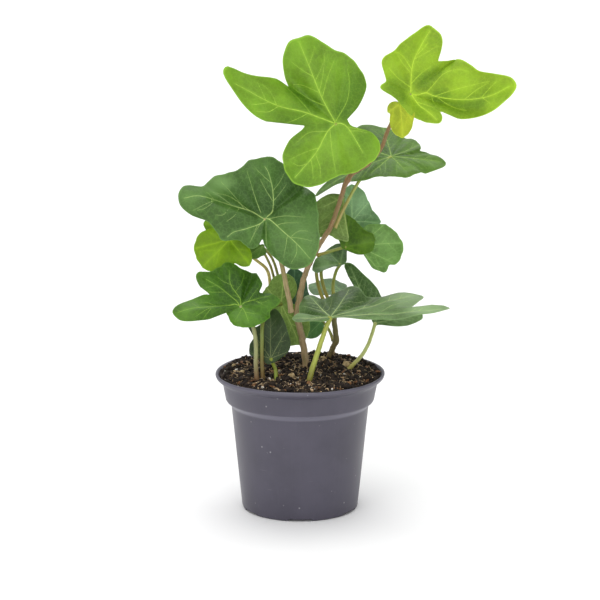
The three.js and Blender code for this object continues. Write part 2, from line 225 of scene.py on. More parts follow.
LEAVES = {
    "top_left": Leaf(
        hub=[19, -16, 210], facing=[0, 12], radii=[0.9, 0.8], tone=(120, 163, 37), cup=0.1, waist=3,
        thin=0.3, vein=1.5, young=True,
        lobes=[[165, 63, 24, 0.1, -11], [112, 49, 46], [48, 27, 24, -0.1], [231, 38, 31], [265, 30, 26],
               [316, 25, 24, -0.1]],
        edge=[(6, 2), (12, 9), (16, 20), (13, 27), (8, 34), (-1, 38), (-11, 44), (-16, 45), (-24, 42),
              (-27, 34), (-27, 25), (-25, 17), (-30, 21), (-42, 19), (-51, 18), (-60, 18), (-61, 14),
              (-54, 7), (-43, -1), (-34, -3), (-16, -2), (-24, -9), (-27, -16), (-26, -25), (-20, -32),
              (-14, -33), (-4, -30), (2, -27), (8, -26), (21, -18), (23, -12), (19, -5), (8, -1)],
        creases=[[137, 13, 5], [199, 9, 2], [80, 8, 1.5], [290, 9, 1]],
        mains=[[(-7, 13), (-14, 30), (-19, 42)], [(-6, 2), (-17, 5), (-30, 6), (-48, 10), (-54, 11)],
               [(-4, -4), (-10, -15), (-21, -28)], [(3, 0), (6, -2), (10, -8), (14, -15)]],
        sides=[[(-7, 13), (-4, 24), (-1, 32)], [(0, 1), (6, 12), (7, 22), (6, 28)],
               [(-9, 16), (-18, 20), (-22, 20)], [(-11, 21), (-8, 27), (-6, 32)],
               [(-31, 6), (-35, 12), (-40, 15)], [(-30, 6), (-35, 2), (-41, 1)],
               [(-10, -17), (-8, -23), (-8, -28)], [(-4, -4), (-14, -5), (-20, -10)],
               [(-3, -3), (-2, -13), (0, -25)], [(-15, -21), (-19, -22), (-23, -20)],
               [(7, -4), (12, -4), (16, -5)]],
        painted_shade_and_sheen=[(11, 16, 11, -0.8), (5, 6, 7, -0.9), (12, 24, 6, -0.4), (-19, 14, 6, -1),
                 (-14, 10, 5, -1), (-9, 7, 4, -0.8), (-24, 17, 4, -0.7), (-19, 1, 8, -0.65),
                 (-28, 0, 6, -0.5), (-3, -2, 6, -0.6), (-3, -12, 9, 0.5), (-19, -29, 8, -0.5),
                 (-22, 34, 9, 0.2), (-16, 22, 6, 0.15), (-45, 12, 8, 0.25), (14, -8, 6, -0.5),
                 (-36, 5, 6, -0.3), (-22, -12, 6, -0.35)],
        petiole=[[27.5, -3.6, 182.5], [25, -8, 190], [22, -12, 200]]),
    "top_right": Leaf(
        hub=[58, -8, 225], facing=[12, 8], radii=[0.9, 0.8], tone=(148, 185, 35), cup=0.12, waist=2.6,
        thin=0.3, vein=1.2, young=True,
        lobes=[[84, 36, 30, 0, -12], [131, 23, 24], [-4, 56, 34, -0.1, 8, 0.1, 4], [318, 25, 15, -0.15],
               [162, 17, 8, -0.3]],
        edge=[(12, 18), (11, 30), (8, 34), (2, 36), (-4, 30), (-12, 21), (-15, 19), (-16, 16), (-13, 7),
              (-16, 5), (-16, 3), (-9, -2), (-1, -11), (4, -14), (12, -16), (15, -16), (16, -13),
              (15, -10), (23, -15), (28, -16), (39, -16), (50, -12), (54, -10), (57, -6), (55, -1),
              (45, 4), (36, 8), (29, 14), (21, 20), (17, 19)],
        creases=[[40, 11, 3], [340, 7, 3], [148, 7, 2], [108, 9, 1]],
        mains=[[(0, 3), (0, 17), (2, 25), (4, 33)],
               [(3, -1), (8, 0), (12, -2), (28, -6), (41, -7), (53, -5)],
               [(4, -6), (9, -10), (13, -14)]],
        sides=[[(8, 0), (18, 9), (25, 10), (31, 8)], [(0, 12), (-6, 19), (-10, 21)],
               [(1, 20), (3, 23), (5, 27)], [(0, 3), (-7, 8), (-12, 13)], [(28, -6), (35, -2), (41, 0)],
               [(14, -3), (22, -9), (29, -12)], [(0, 5), (5, 11), (9, 15)]],
        painted_shade_and_sheen=[(7, 7, 6, -0.8), (13, 11, 5, -0.7), (18, 14, 4, -0.5), (23, -9, 8, -0.75),
                 (34, -10, 8, -0.7), (15, -4, 6, -1), (-9, 3, 7, -0.85), (-4, -2, 5, -0.8),
                 (4, -9, 7, -0.5), (-8, 14, 7, 0.35), (30, 3, 9, 0.3), (9, 30, 6, -0.15),
                 (48, -8, 6, -0.35), (-4, 26, 8, -0.15)],
        petiole=[[52.3, -4, 215.2], [55.1, -5, 220]]),
    "top_bud": Leaf(
        hub=[52, -10, 220], facing=[0, 15], radii=[0.6, 0.5], tone=(158, 174, 29), young=True,
        lobes=[[273, 18, 13, -0.1], [215, 8, 7], [305, 11, 8]],
        painted_shade_and_sheen=[(0, -6, 4, -0.4), (2, -14, 4, 0.35), (-3, -2, 3, -0.3)],
        petiole=[[50.4, -5.2, 213.8], [51.5, -7.5, 217]]),
    "upper_right": Leaf(
        hub=[49, 19, 187], facing=[5, 66], radii=[0.9, 0.8], tone=(80, 117, 34), vein=1.1,
        lobes=[[355, 28, 17, -0.1], [33, 21, 14], [92, 30, 22], [147, 32, 26], [205, 46, 11, -0.2],
               [228, 19, 13, -0.1], [298, 14, 13, -0.1]],
        edge=[(1, 28), (5, 23), (15, 14), (17, 8), (16, 6), (20, 6), (28, 0), (29, -3), (25, -8),
              (19, -10), (13, -14), (-3, -18), (-8, -16), (-22, -19), (-37, -19), (-42, -24),
              (-39, -17), (-28, -8), (-25, -1), (-24, 10), (-19, 23), (-14, 30), (-6, 29)],
        creases=[[15, 8, 2.5], [62, 9, 2.5], [120, 9, 2], [328, 9, 2.5], [175, 10, 2]],
        painted_shade_and_sheen=[(0, 6, 8, -0.5), (10, 10, 7, 0.2), (20, -3, 8, 0.25), (8, -11, 6, 0.4),
                 (-12, -8, 9, -0.6), (-6, 16, 8, -0.3)],
        petiole=[[18.4, 0.8, 152], [23.7, 3, 163], [31.6, 6, 176.7], [38, 13, 182]]),
    "big_left": Leaf(
        hub=[-18, -12, 160], facing=[-8, 28], radii=[1.4, 1], tone=(74, 111, 44), cup=0.25, waist=1.6,
        thin=0.3, vein=1.7,
        lobes=[[90, 32, 34], [146, 34, 24], [178, 46, 24, -0.1, -10, -0.14], [214, 22, 24, -0.1],
               [253, 18, 14, -0.1], [311, 38, 31, -0.1, 4], [22, 30, 24, -0.1], [352, 29, 26, -0.1]],
        edge=[(0, 32), (4, 31), (9, 28), (13, 21), (23, 16), (26, 13), (28, 6), (30, -14), (29, -20),
              (24, -28), (20, -29), (15, -29), (8, -24), (1, -15), (0, -12), (-2, -16), (-6, -17),
              (-12, -13), (-20, -14), (-23, -11), (-29, -6), (-38, -5), (-45, -2), (-46, 2), (-45, 8),
              (-42, 11), (-35, 14), (-28, 20), (-17, 23), (-9, 29), (-4, 31)],
        creases=[[158, 11, 4.5], [42, 8, 3.5], [278, 7, 3], [232, 10, 1.5], [118, 9, 1.5]],
        mains=[[(1, 1), (4, 4), (4, 14), (1, 24), (-1, 27)],
               [(-2, 1), (-8, 4), (-18, 6), (-29, 7), (-36, 6), (-43, 2)],
               [(-1, -2), (-8, -6), (-15, -9), (-18, -12)], [(2, 0), (11, -8), (18, -15), (25, -24)]],
        sides=[[(-2, 3), (-5, 10), (-10, 24)], [(-29, 7), (-28, 4), (-31, 0), (-35, -2)],
               [(-18, 5), (-21, -1), (-25, -2)], [(-2, -3), (-6, -13)], [(1, -2), (2, -15)],
               [(13, -10), (12, -18), (11, -23)], [(15, -11), (19, -8), (24, -8)],
               [(2, 0), (11, 1), (22, 0)], [(-8, 4), (-20, 11), (-27, 12)],
               [(-18, 6), (-24, 10), (-29, 12)], [(4, 14), (8, 19), (10, 23)],
               [(4, 9), (0, 15), (-3, 20)], [(-14, 5), (-15, 0), (-19, -4)],
               [(7, -4), (10, -3), (19, -3)], [(18, -15), (18, -20), (15, -26)]],
        painted_shade_and_sheen=[(3, 6, 8, -1), (4, 12, 7, -0.7), (-11, 12, 9, -0.75), (-6, 4, 6, -0.9),
                 (-27, 17, 7, 0.9), (-21, 17, 5, 0.7), (-33, 13, 5, 0.5), (-41, 5, 8, 0.3),
                 (18, -9, 12, 0.3), (22, -20, 7, 0.25), (-6, 28, 6, 0.2), (-16, -4, 7, -0.5),
                 (21, 12, 8, -0.5), (9, 22, 7, -0.5), (0, -6, 5, -0.7), (8, -22, 6, -0.3),
                 (13, 16, 5, -0.8), (-30, 3, 6, -0.3)],
        petiole=[[-4.6, 0.2, 106.5], [-5.6, -0.6, 113], [-6.9, -1, 118.9], [-8.5, -1, 127.5],
                 [-11.1, -2, 138], [-14.7, -5, 148.8]]),
    "young_left": Leaf(
        hub=[-37, 0, 146], facing=[-15, 20], radii=[1.2, 0.7], tone=(120, 159, 6), young=True,
        lobes=[[231, 21, 24], [199, 20, 18], [312, 18, 12, -0.1]],
        painted_shade_and_sheen=[(-10, -6, 6, 0.3), (2, -4, 6, -0.5), (-4, -14, 5, 0.2), (8, -4, 5, -0.3)],
        petiole=[[-15, 16, 72.5], [-15.5, 14, 96], [-15.7, 14, 110], [-16, 13, 119.5],
                 [-17.6, 12, 126.9], [-25.5, 8, 134.8], [-31, 4, 140.5]]),
    "young_back": Leaf(
        hub=[-40, 8, 150], facing=[-10, 25], radii=[0.9, 0.6], tone=(110, 150, 20), young=True,
        lobes=[[165, 12, 10], [215, 11, 9]],
        petiole=[[-12, 19, 72.5], [-12.6, 17.5, 96], [-12.9, 17, 110], [-13.9, 16, 121.3],
                 [-17, 13, 131.7], [-24, 12, 142]]),
    "small_inner": Leaf(
        hub=[-20, 6, 141], facing=[0, 30], radii=[0.9, 0.7], tone=(80, 115, 45),
        lobes=[[215, 10, 9], [250, 6, 7]],
        petiole=[[-8.5, 21, 72.5], [-9.8, 20, 96], [-10.6, 19.5, 110], [-11.8, 19, 122],
                 [-15, 14, 133]]),
    "lower_left": Leaf(
        hub=[-31, -22, 115], facing=[-5, 50], radii=[1.3, 1], tone=(64, 108, 12), cup=0.15, waist=1.8,
        thin=0.3, vein=1.3,
        lobes=[[191, 36, 12, -0.1, 0, -0.15], [153, 26, 20, 0.1, -10], [104, 24, 26, 0.1],
               [51, 15, 18, 0.1], [8, 21, 12], [285, 13, 24, -0.2], [241, 10, 14, -0.2],
               [327, 15, 14, -0.2]],
        edge=[(-12, 21), (-9, 23), (-4, 23), (-1, 21), (6, 21), (9, 16), (11, 12), (10, 8), (14, 8),
              (18, 5), (21, 2), (20, -1), (16, -3), (16, -6), (13, -10), (9, -12), (0, -13), (-4, -10),
              (-8, -3), (-14, -7), (-28, -10), (-32, -9), (-35, -6), (-34, -3), (-27, 1), (-20, 4),
              (-15, 4), (-22, 6), (-26, 10), (-25, 13), (-22, 15), (-19, 16), (-15, 20)],
        creases=[[173, 9, 3.5], [75, 10, 4.5], [30, 8, 2], [212, 12, 4], [342, 9, 2], [130, 8, 1.5]],
        mains=[[(0, 4), (-6, 12), (-7, 19)], [(-2, 1), (-12, -1), (-23, -3), (-32, -6)],
               [(-2, 3), (-12, 9), (-20, 11)], [(2, -2), (5, -9)], [(2, 2), (8, 4), (16, 5)]],
        sides=[[(-3, 8), (0, 13), (1, 18)], [(-4, 11), (-10, 13), (-14, 15)],
               [(-12, -1), (-17, 1), (-21, 1)], [(-15, -2), (-19, -5), (-23, -8)],
               [(-9, 7), (-15, 5), (-20, 5)], [(1, -2), (-1, -8), (-2, -10)],
               [(3, -4), (8, -5), (11, -5)], [(7, 4), (11, 1), (15, 2)]],
        painted_shade_and_sheen=[(0.5, 7, 7, -1), (3, 13, 7, -1), (-5, 11, 7, -0.8), (-10, 7, 5, -0.7),
                 (8.5, 6, 5, -0.9), (0.5, -8, 7, 0.35), (7, -7, 5, 0.3), (-24, 0, 7, 0.35),
                 (-16, 15, 6, -0.35), (-28, -7, 5, 0.5), (6, 19, 6, -0.6), (-6, 18, 5, -0.4),
                 (-8, 0, 5, -0.5), (15, 0, 5, 0.15), (14, 5, 4, -0.6)],
        petiole=[[-22.6, -20.5, 72.6], [-23.1, -20.5, 82.9], [-23.1, -20.5, 93.7],
                 [-24.1, -20.6, 101.9], [-26.7, -20.6, 109]]),
    "low_front": Leaf(
        hub=[-16, -16, 86], facing=[-5, 12], radii=[1.1, 0.9], tone=(46, 66, 29), thin=1.3, vein=1.4,
        lobes=[[92, 23, 22], [127, 18, 18], [62, 18, 22], [24, 10, 20], [166, 11, 12]],
        edge=[(2, -2), (5, 0), (10, 5), (10, 10), (8, 17), (6, 22), (2, 26), (-2, 23), (-7, 17),
              (-12, 16), (-9, 11), (-11, 8), (-11, 2), (-8, 0.5), (-4, -1), (-2, -3)],
        painted_shade_and_sheen=[(-6, 6, 7, -0.4), (6, 12, 6, -0.3), (4, 0, 5, -0.3), (-3, 16, 5, 0.3)],
        petiole=[[-12.6, -17.6, 72.5], [-13, -15.2, 79]]),
    "low_back": Leaf(
        hub=[-10, 8, 109], facing=[180, -10], radii=[1.1, 0.9], tone=(60, 90, 45), under=(125, 157, 71),
        lobes=[[97, 17, 16], [47, 12, 16], [245, 24, 22], [266, 22, 20]],
        painted_shade_and_sheen=[(0, -8, 8, -0.3), (0, 10, 6, 0.3)],
        petiole=[[-19.4, -20, 72.5], [-20, -19.5, 84], [-20, -19, 95], [-19.6, -16, 104],
                 [-17, -8, 110]]),
    "front_right": Leaf(
        hub=[16, -20, 109], facing=[0, 80], radii=[1.6, 1.15], tone=(95, 125, 70), thin=1.9, vein=1.5,
        lobes=[[183, 20, 13, -0.05], [116, 27, 22], [73, 40, 30], [34, 59, 28], [7, 63, 14]],
        creases=[[95, 9, 3], [53, 8, 3], [20, 6, 2], [150, 10, 3.5]],
        painted_shade_and_sheen=[(-2, 12, 9, -1), (-9, 8, 7, -0.9), (6, 18, 8, -0.8), (12, 3, 6, 0.5), (24, 10, 8, 0.4),
                 (42, 30, 13, 1), (32, 18, 8, 0.3), (50, 8, 12, 1), (10, 28, 10, -0.9),
                 (-14, 2, 5, 0.6), (18, 20, 6, -0.5)],
        petiole=[[4.2, -26.5, 72.2], [6.3, -26, 81.6], [8.4, -25, 88.3], [10.5, -24, 94.5],
                 [13.6, -21.6, 103.2]]),
    "low_right": Leaf(
        hub=[40, 22, 96], facing=[-10, 35], radii=[1.2, 0.9], tone=(103, 134, 79), thin=1.4, vein=0.8,
        lobes=[[13, 26, 13, -0.1], [119, 36, 17, 0.1], [80, 17, 14, 0.1]],
        edge=[(25, 8), (25, 4), (19, 0), (12, -1.5), (2, -1), (0, -1.5), (-3, 3), (-7, 11), (-17, 25),
              (-19, 29), (-19, 32), (-16, 32), (-10, 28), (-1, 20), (5, 11), (12, 9)],
        painted_shade_and_sheen=[(16, 4, 7, 0.3), (2, 2, 6, -0.8), (-4, 12, 10, -1), (-11, 21, 10, -1),
                 (-17, 30, 9, -1)],
        petiole=[[25.6, 0.7, 74.4], [29, 3.4, 77.6], [33.2, 9, 80.9], [37.1, 16, 86.1]]),
    "centre_right": Leaf(
        hub=[22, 12, 131], facing=[-20, 50], radii=[1, 0.8], tone=(86, 119, 64), vein=0.6,
        lobes=[[193, 15, 15, -0.1], [140, 13, 14], [95, 12, 10]],
        edge=[(2, 7), (0, 13), (-4, 13), (-10, 9), (-15, 0), (-15, -4), (-11, -7), (-6, -3), (0, -1.5),
              (3, 1)],
        painted_shade_and_sheen=[(-9, -1, 6, 0.6), (-1, 8, 8, -0.9), (-15, -4, 5, -0.5), (2, -2, 4, -0.6)],
        petiole=[[19, 21.6, 105], [17.7, 20, 115.8], [19.2, 16, 124.9]]),
    "mid_right": Leaf(
        hub=[31, 20, 138], facing=[10, 12], radii=[1, 0.8], tone=(102, 144, 66), thin=1.2, vein=1.1,
        lobes=[[1, 25, 22, -0.1], [331, 22, 16, -0.1], [309, 19, 16, -0.1], [36, 19, 16]],
        edge=[(16, 11), (22, 5), (25, 0), (25, -4), (23, -8), (20, -11), (17, -11), (16, -13),
              (14, -15), (11, -14), (7, -12), (5, -8), (2, -4), (-1, -2), (-2, 3), (1, 8), (6, 11)],
        painted_shade_and_sheen=[(14, 3, 7, 0.35), (18, -6, 6, 0.3), (6, 0, 6, -0.5), (8, -9, 5, -0.2),
                 (22, -3, 4, -0.3)],
        petiole=[[17, 24.2, 105], [13.4, 24, 112.6], [11.4, 23.6, 123.6], [14, 23.2, 131],
                 [21, 22.8, 136.5]]),
    "mid_fold": Leaf(
        hub=[24, 12, 140], facing=[30, 10], radii=[0.9, 0.8], tone=(73, 112, 11), thin=0, vein=0.35,
        lobes=[[76, 16, 12], [3, 19, 15], [334, 9, 9]],
        edge=[(-3, 17), (2, 17), (6, 14), (13, 7), (17, 5), (18, 1), (17, -3), (12, -5), (7, -5),
              (0, -2), (-3, 0), (-4, 3), (-8, 11), (-8, 15)],
        painted_shade_and_sheen=[(2, 8, 6, -0.5), (12, 0, 5, 0.35), (4, 0, 4, -0.4)],
        petiole=[[9.4, 2.6, 137], [14, 8, 137.2], [19.5, 13.4, 137.8]]),
    "mid_back": Leaf(
        hub=[28, 28, 150], facing=[15, 12], radii=[1, 0.8], tone=(120, 161, 108), vein=1.2,
        lobes=[[87, 20, 18], [356, 16, 13], [47, 14, 14]],
        painted_shade_and_sheen=[(4, 10, 9, 0.5), (10, 2, 5, -0.3), (-4, 14, 5, 0.3)],
        petiole=[[14.4, 22, 105], [10.8, 21.6, 112.6], [8.8, 20, 124], [10, 25, 129.5], [17, 29, 132],
                 [24, 32, 138], [27.5, 31.5, 145]]),
    "behind_stem": Leaf(
        hub=[22, 10, 166], facing=[180, -15], radii=[0.8, 0.7], tone=(70, 100, 45),
        under=(114, 141, 68),
        lobes=[[335, 12, 12], [292, 24, 14], [263, 23, 8]],
        edge=[(15, -3), (11, 0), (7, 2), (3, 2), (-1, 1), (-1, -2), (-1, -7), (-3, -18), (-3, -23),
              (3, -22), (8, -20), (12, -21), (14, -17), (15, -10)],
        petiole=[[21.6, 1.4, 168], [22, 5, 168.5]]),
    "far_right": Leaf(
        hub=[23, 38, 109], facing=[0, 75], radii=[0.9, 0.8], tone=(80, 115, 63),
        lobes=[[156, 20, 22], [120, 12, 12]],
        petiole=[[18.8, 24.9, 97], [20, 30, 101], [22.2, 36, 105.5]]),
    "far_low": Leaf(
        hub=[12, 30, 95], facing=[10, 20], radii=[0.9, 0.7], tone=(88, 136, 74),
        lobes=[[223, 13, 10], [183, 10, 9]],
        petiole=[[18, 25, 85], [15.5, 30, 90]]),
    "between_stems": Leaf(
        hub=[-2, 14, 107], facing=[0, 20], radii=[0.9, 0.8], tone=(56, 92, 60),
        lobes=[[93, 21, 14, -0.1], [53, 10, 9]],
        petiole=[[2, 3, 109], [3.2, 8.5, 108], [0.2, 15, 104.2]]),
}


def planted(points):
    """A shoot's points, led on down into the soil where it comes out of it."""
    x, y, z = points[0]
    if z > SOIL_LEVEL:
        return points
    return [[x, y, z - BURIED], [x, y, z - BURIED / 3], *points]


# ---------------------------------------------------------------- blades
def axes_of(facing):
    a, e = np.radians(facing)
    out = np.array([math.cos(e) * math.sin(a), -math.cos(e) * math.cos(a), math.sin(e)])
    up = np.array([-math.sin(e) * math.sin(a), math.sin(e) * math.cos(a), math.cos(e)])
    return out, up, np.cross(up, out)


def wrapped(angle):
    return np.arctan2(np.sin(angle), np.cos(angle))


class Blade:
    """The shape of one leaf blade, in mm: direction round the hub and distance from it."""

    def __init__(self, name, leaf):
        self.leaf, self.lobes = leaf, [Lobe(*numbers) for numbers in leaf.lobes]
        self.rng = np.random.default_rng(sum(map(ord, name)))
        self.phase = self.rng.uniform(0, 6.28, 8)
        self.longest = max(lobe.length for lobe in self.lobes)
        self.out, self.up, self.right = axes_of(leaf.facing)
        self.hub = np.array(leaf.hub, float)
        if leaf.edge:
            self.trace(leaf.edge)

    def trace(self, edge):
        """Turns the drawn margin, points round the hub, into distances by direction."""
        closed = np.array([*edge, edge[0]], float)
        ring = smooth_path(np.column_stack([closed, np.zeros(len(closed))]), 2.0)[0][:, :2]
        turn = np.radians(np.arange(720) / 2)
        ray = np.stack([np.cos(turn), np.sin(turn)], 1)
        cross = ray[:, :1] * ring[:, 1] - ray[:, 1:] * ring[:, 0]
        forward = ray[:, :1] * ring[:, 0] + ray[:, 1:] * ring[:, 1]
        a, b = cross[:, :-1], cross[:, 1:]
        share = a / np.where(a == b, 1, a - b)
        far = forward[:, :-1] + share * (forward[:, 1:] - forward[:, :-1])
        far = np.where((a * b <= 0) & (a != b), far, 0).max(1)
        far = (np.roll(far, 1) + 2 * far + np.roll(far, -1)) / 4
        self.margin = np.append(turn, 2 * math.pi), np.append(far, far[0])

    def reach(self, lobe, direction):
        """How far one lobe, a pinched oval from the hub, goes out in a direction."""
        waist = lobe.waist or self.leaf.waist
        off = wrapped(direction - math.radians(lobe.angle))
        c = np.maximum(np.cos(off), 0)
        slim = max((lobe.length / lobe.width) ** 2 - (waist - 1) / 2, 0.3)
        oval = c ** waist / np.maximum(c * c + slim * (1 - c * c), 1e-9)
        return lobe.length * oval * (0.95 + 0.05 * np.exp(-np.abs(off) / 0.15))

    def reaches(self, direction):
        return np.array([self.reach(lobe, direction) for lobe in self.lobes])

    def outline(self, direction):
        if self.leaf.edge:
            whole = np.interp(np.mod(direction, 2 * math.pi), *self.margin)
        else:
            whole = (self.reaches(direction) ** OUTLINE_POWER).sum(0) ** (1 / OUTLINE_POWER)
        p = self.phase
        wave = (np.sin(9 * direction + p[0]) + np.sin(17 * direction + p[1])
                + 0.7 * np.sin(31 * direction + p[2]))
        return np.maximum(whole, 1.2) * (1 + 0.006 * wave)

    def form(self, direction, rho):
        """Sideways, up and out of the blade's plane for points given round the hub."""
        t = rho / self.outline(direction)
        weights = (self.reaches(direction) + 0.3) ** BLEND_POWER
        weights = weights / weights.sum(0)
        lift = self.leaf.cup * rho + 0.03 * rho * t * np.sin(7 * direction)
        bend = np.zeros_like(rho)
        for share, lobe in zip(weights, self.lobes):
            across = np.abs(np.sin(direction - math.radians(lobe.angle)))
            lift = lift + share * (lobe.lift * rho * rho / lobe.length + lobe.keel * rho * across)
            bend = bend + share * math.radians(lobe.bend) * rho / lobe.length
        for angle, spread, depth in self.leaf.creases:
            off = wrapped(direction - math.radians(angle)) / math.radians(spread)
            lift = lift - depth * np.minimum(rho / 20, 1.3) * np.exp(-off * off)
        p = self.phase
        x, y = rho * np.cos(direction), rho * np.sin(direction)
        waves = (np.sin(0.16 * x + p[5]) * np.cos(0.14 * y + p[6])
                 + 0.5 * np.sin(0.31 * x + 0.24 * y + p[7]))
        lift = lift + self.longest * 0.011 * t * waves
        return rho * np.cos(direction + bend), rho * np.sin(direction + bend), lift

    def place(self, x, y, height):
        return (self.hub + x[..., None] * self.right + y[..., None] * self.up
                + height[..., None] * self.out)

    def spokes(self, step):
        """Directions round the hub, with one along each lobe and one in each notch."""
        if self.leaf.edge:
            return np.radians(np.arange(SPOKES) * 360 / SPOKES)
        order = sorted(self.lobes, key=lambda lobe: lobe.angle % 360)
        made = []
        for n, lobe in enumerate(order):
            after = order[(n + 1) % len(order)]
            start = math.radians(lobe.angle % 360)
            span = math.radians((after.angle - lobe.angle) % 360)
            fine = start + span * np.linspace(0, 1, 181)[1:-1]
            gap = self.reach(lobe, fine) - self.reach(after, fine)
            change = np.nonzero(np.diff(np.sign(gap)))[0]
            notch = fine[change[0]] if len(change) else start + span / 2
            notch = min(max(notch, start + 0.04), start + span - 0.04)
            for low, high in ((start, notch), (notch, start + span)):
                steps = max(4, round((high - low) / step))
                made += [low + (high - low) * (1 - math.cos(math.pi * k / steps)) / 2
                         for k in range(steps)]
        return np.array(made)

    def inside(self, point):
        direction = math.atan2(point[1], point[0])
        edge = float(self.outline(np.array([direction]))[0])
        return math.hypot(*point) < VEIN_END * edge

    def main_veins(self):
        """The drawn middle veins, or else one gently swaying vein along each lobe."""
        if self.leaf.mains:
            return [resample([(0, 0), *line]) for line in self.leaf.mains]
        made = []
        for lobe in self.lobes:
            u = np.linspace(0, 0.93, max(6, int(lobe.length)))
            sway = 0.02 * lobe.length * np.sin(3 * u + self.rng.uniform(0, 6)) * u
            angle = math.radians(lobe.angle)
            made.append(np.stack([lobe.length * u * math.cos(angle) - sway * math.sin(angle),
                                  lobe.length * u * math.sin(angle) + sway * math.cos(angle)], 1))
        return made

    def branch(self, line, at, hand, taken):
        """A side vein that leaves a vein and stops short of the margin and of other veins."""
        ahead = line[at + 1] - line[at - 1]
        heading = math.atan2(ahead[1], ahead[0])
        turn = hand * math.radians(self.rng.uniform(36, 56))
        here, path = line[at], [line[at]]
        for _ in range(30):
            turn *= 0.975
            here = here + np.array([math.cos(heading + turn), math.sin(heading + turn)])
            near = np.hypot(*(taken - here).T).min()
            if not self.inside(here) or (len(path) > 4 and near < 1.6):
                break
            path.append(here)
        return np.array(path)

    def veins(self):
        """Middle and side veins as [(points in the flat blade, half width at the start)]."""
        mains = self.main_veins()
        size = math.sqrt(self.longest / 55)
        made = [(line, 0.46 * size) for line in mains if len(line) > 3]
        made += [(resample(line), 0.2 * size) for line in self.leaf.sides]
        taken = np.vstack(mains)
        for line in mains:
            total = len(line)
            each = int(np.clip(round(total / 9 * self.leaf.thin), 0, 5))
            for hand, k in product((-1, 1), range(each)):
                at = int(total * (0.16 + 0.72 * (k + self.rng.uniform(0.1, 0.9)) / each))
                if not 2 <= at < total - 2:
                    continue
                path = self.branch(line, at, hand, taken)
                if len(path) > 4 and self.rng.uniform() < 0.85:
                    made.append((path, 0.17 * size))
                    taken = np.vstack([taken, path])
        return made


def resample(line):
    """Points 1 mm apart on a smooth curve through the given ones in the plane."""
    path, _ = smooth_path(np.column_stack([line, np.zeros(len(line))]), 1.0)
    return path[:, :2]


def smooth_path(points, per_mm=1.6):
    """Points along the centripetal Catmull-Rom curve through the given ones, evenly spaced."""
    p = np.array(points, float)
    p = np.vstack([2 * p[0] - p[1], p, 2 * p[-1] - p[-2]])
    made = []
    for p0, p1, p2, p3 in zip(p, p[1:], p[2:], p[3:]):
        d0, d1, d2 = (max(np.linalg.norm(b - a) ** 0.5, 1e-4)
                      for a, b in ((p0, p1), (p1, p2), (p2, p3)))
        t1 = ((p1 - p0) / d0 - (p2 - p0) / (d0 + d1) + (p2 - p1) / d1) * d1
        t2 = ((p2 - p1) / d1 - (p3 - p1) / (d1 + d2) + (p3 - p2) / d2) * d1
        u = np.linspace(0, 1, 24, endpoint=False)[:, None]
        made.append(p1 + t1 * u + (-3 * p1 + 3 * p2 - 2 * t1 - t2) * u ** 2
                    + (2 * p1 - 2 * p2 + t1 + t2) * u ** 3)
    made = np.vstack([*made, p[-2:-1]])
    length = np.concatenate([[0], np.cumsum(np.linalg.norm(np.diff(made, axis=0), axis=1))])
    even = np.linspace(0, length[-1], max(8, int(length[-1] * per_mm)))
    return np.stack([np.interp(even, length, made[:, k]) for k in range(3)], 1), even


def nearest(points, targets):
    """Distance of each point to the closest target."""
    best = np.full(len(points), 1e9)
    for start in range(0, len(targets), 64):
        some = targets[start:start + 64]
        apart = np.hypot(points[:, None, 0] - some[None, :, 0],
                         points[:, None, 1] - some[None, :, 1])
        best = np.minimum(best, apart.min(1))
    return best


def vein_strips(shape, veins, tree, sign):
    """Closed low ridges along the veins, laid on the face that looks along sign * out."""
    points, faces = [], []
    face_out = sign * shape.out
    down = Vector(-face_out)
    wider, height, ring = (1.0, 0.05, (0, 1, 2, 3)) if sign > 0 else (1.25, 0.16, (3, 2, 1, 0))
    for line, half in veins:
        along = np.gradient(line, axis=0)
        along /= np.linalg.norm(along, axis=1)[:, None] + 1e-9
        across = np.stack([-along[:, 1], along[:, 0]], 1)
        rows = []
        for k in range(len(line)):
            taper = 1 - 0.6 * k / len(line)
            row = []
            for offset in (-half * taper * wider, 0, half * taper * wider):
                at = line[k] + across[k] * offset
                rho = np.array([math.hypot(*at)])
                x, y, lift = shape.form(np.array([math.atan2(at[1], at[0])]), rho)
                start = shape.place(x, y, lift + sign * 4)[0]
                hit = tree.ray_cast(Vector(start), down, 12)
                if hit[0] is None:
                    break
                row.append(np.array(hit[0]))
            if len(row) < 3:
                break
            rows.append([row[0] - 0.05 * face_out, row[1] + (height * taper + 0.01) * face_out,
                         row[2] - 0.05 * face_out, row[1] - 0.1 * face_out])
        if len(rows) < 4:
            continue
        base, last = len(points), len(points) + 4 * (len(rows) - 1)
        for row in rows:
            points += row
        for a in range(base, last, 4):
            for p, q in zip(ring, ring[1:] + ring[:1]):
                faces.append([a + q, a + p, a + 4 + p, a + 4 + q])
        faces.append([base + j for j in ring])
        faces.append([last + j for j in ring[::-1]])
    return points, faces


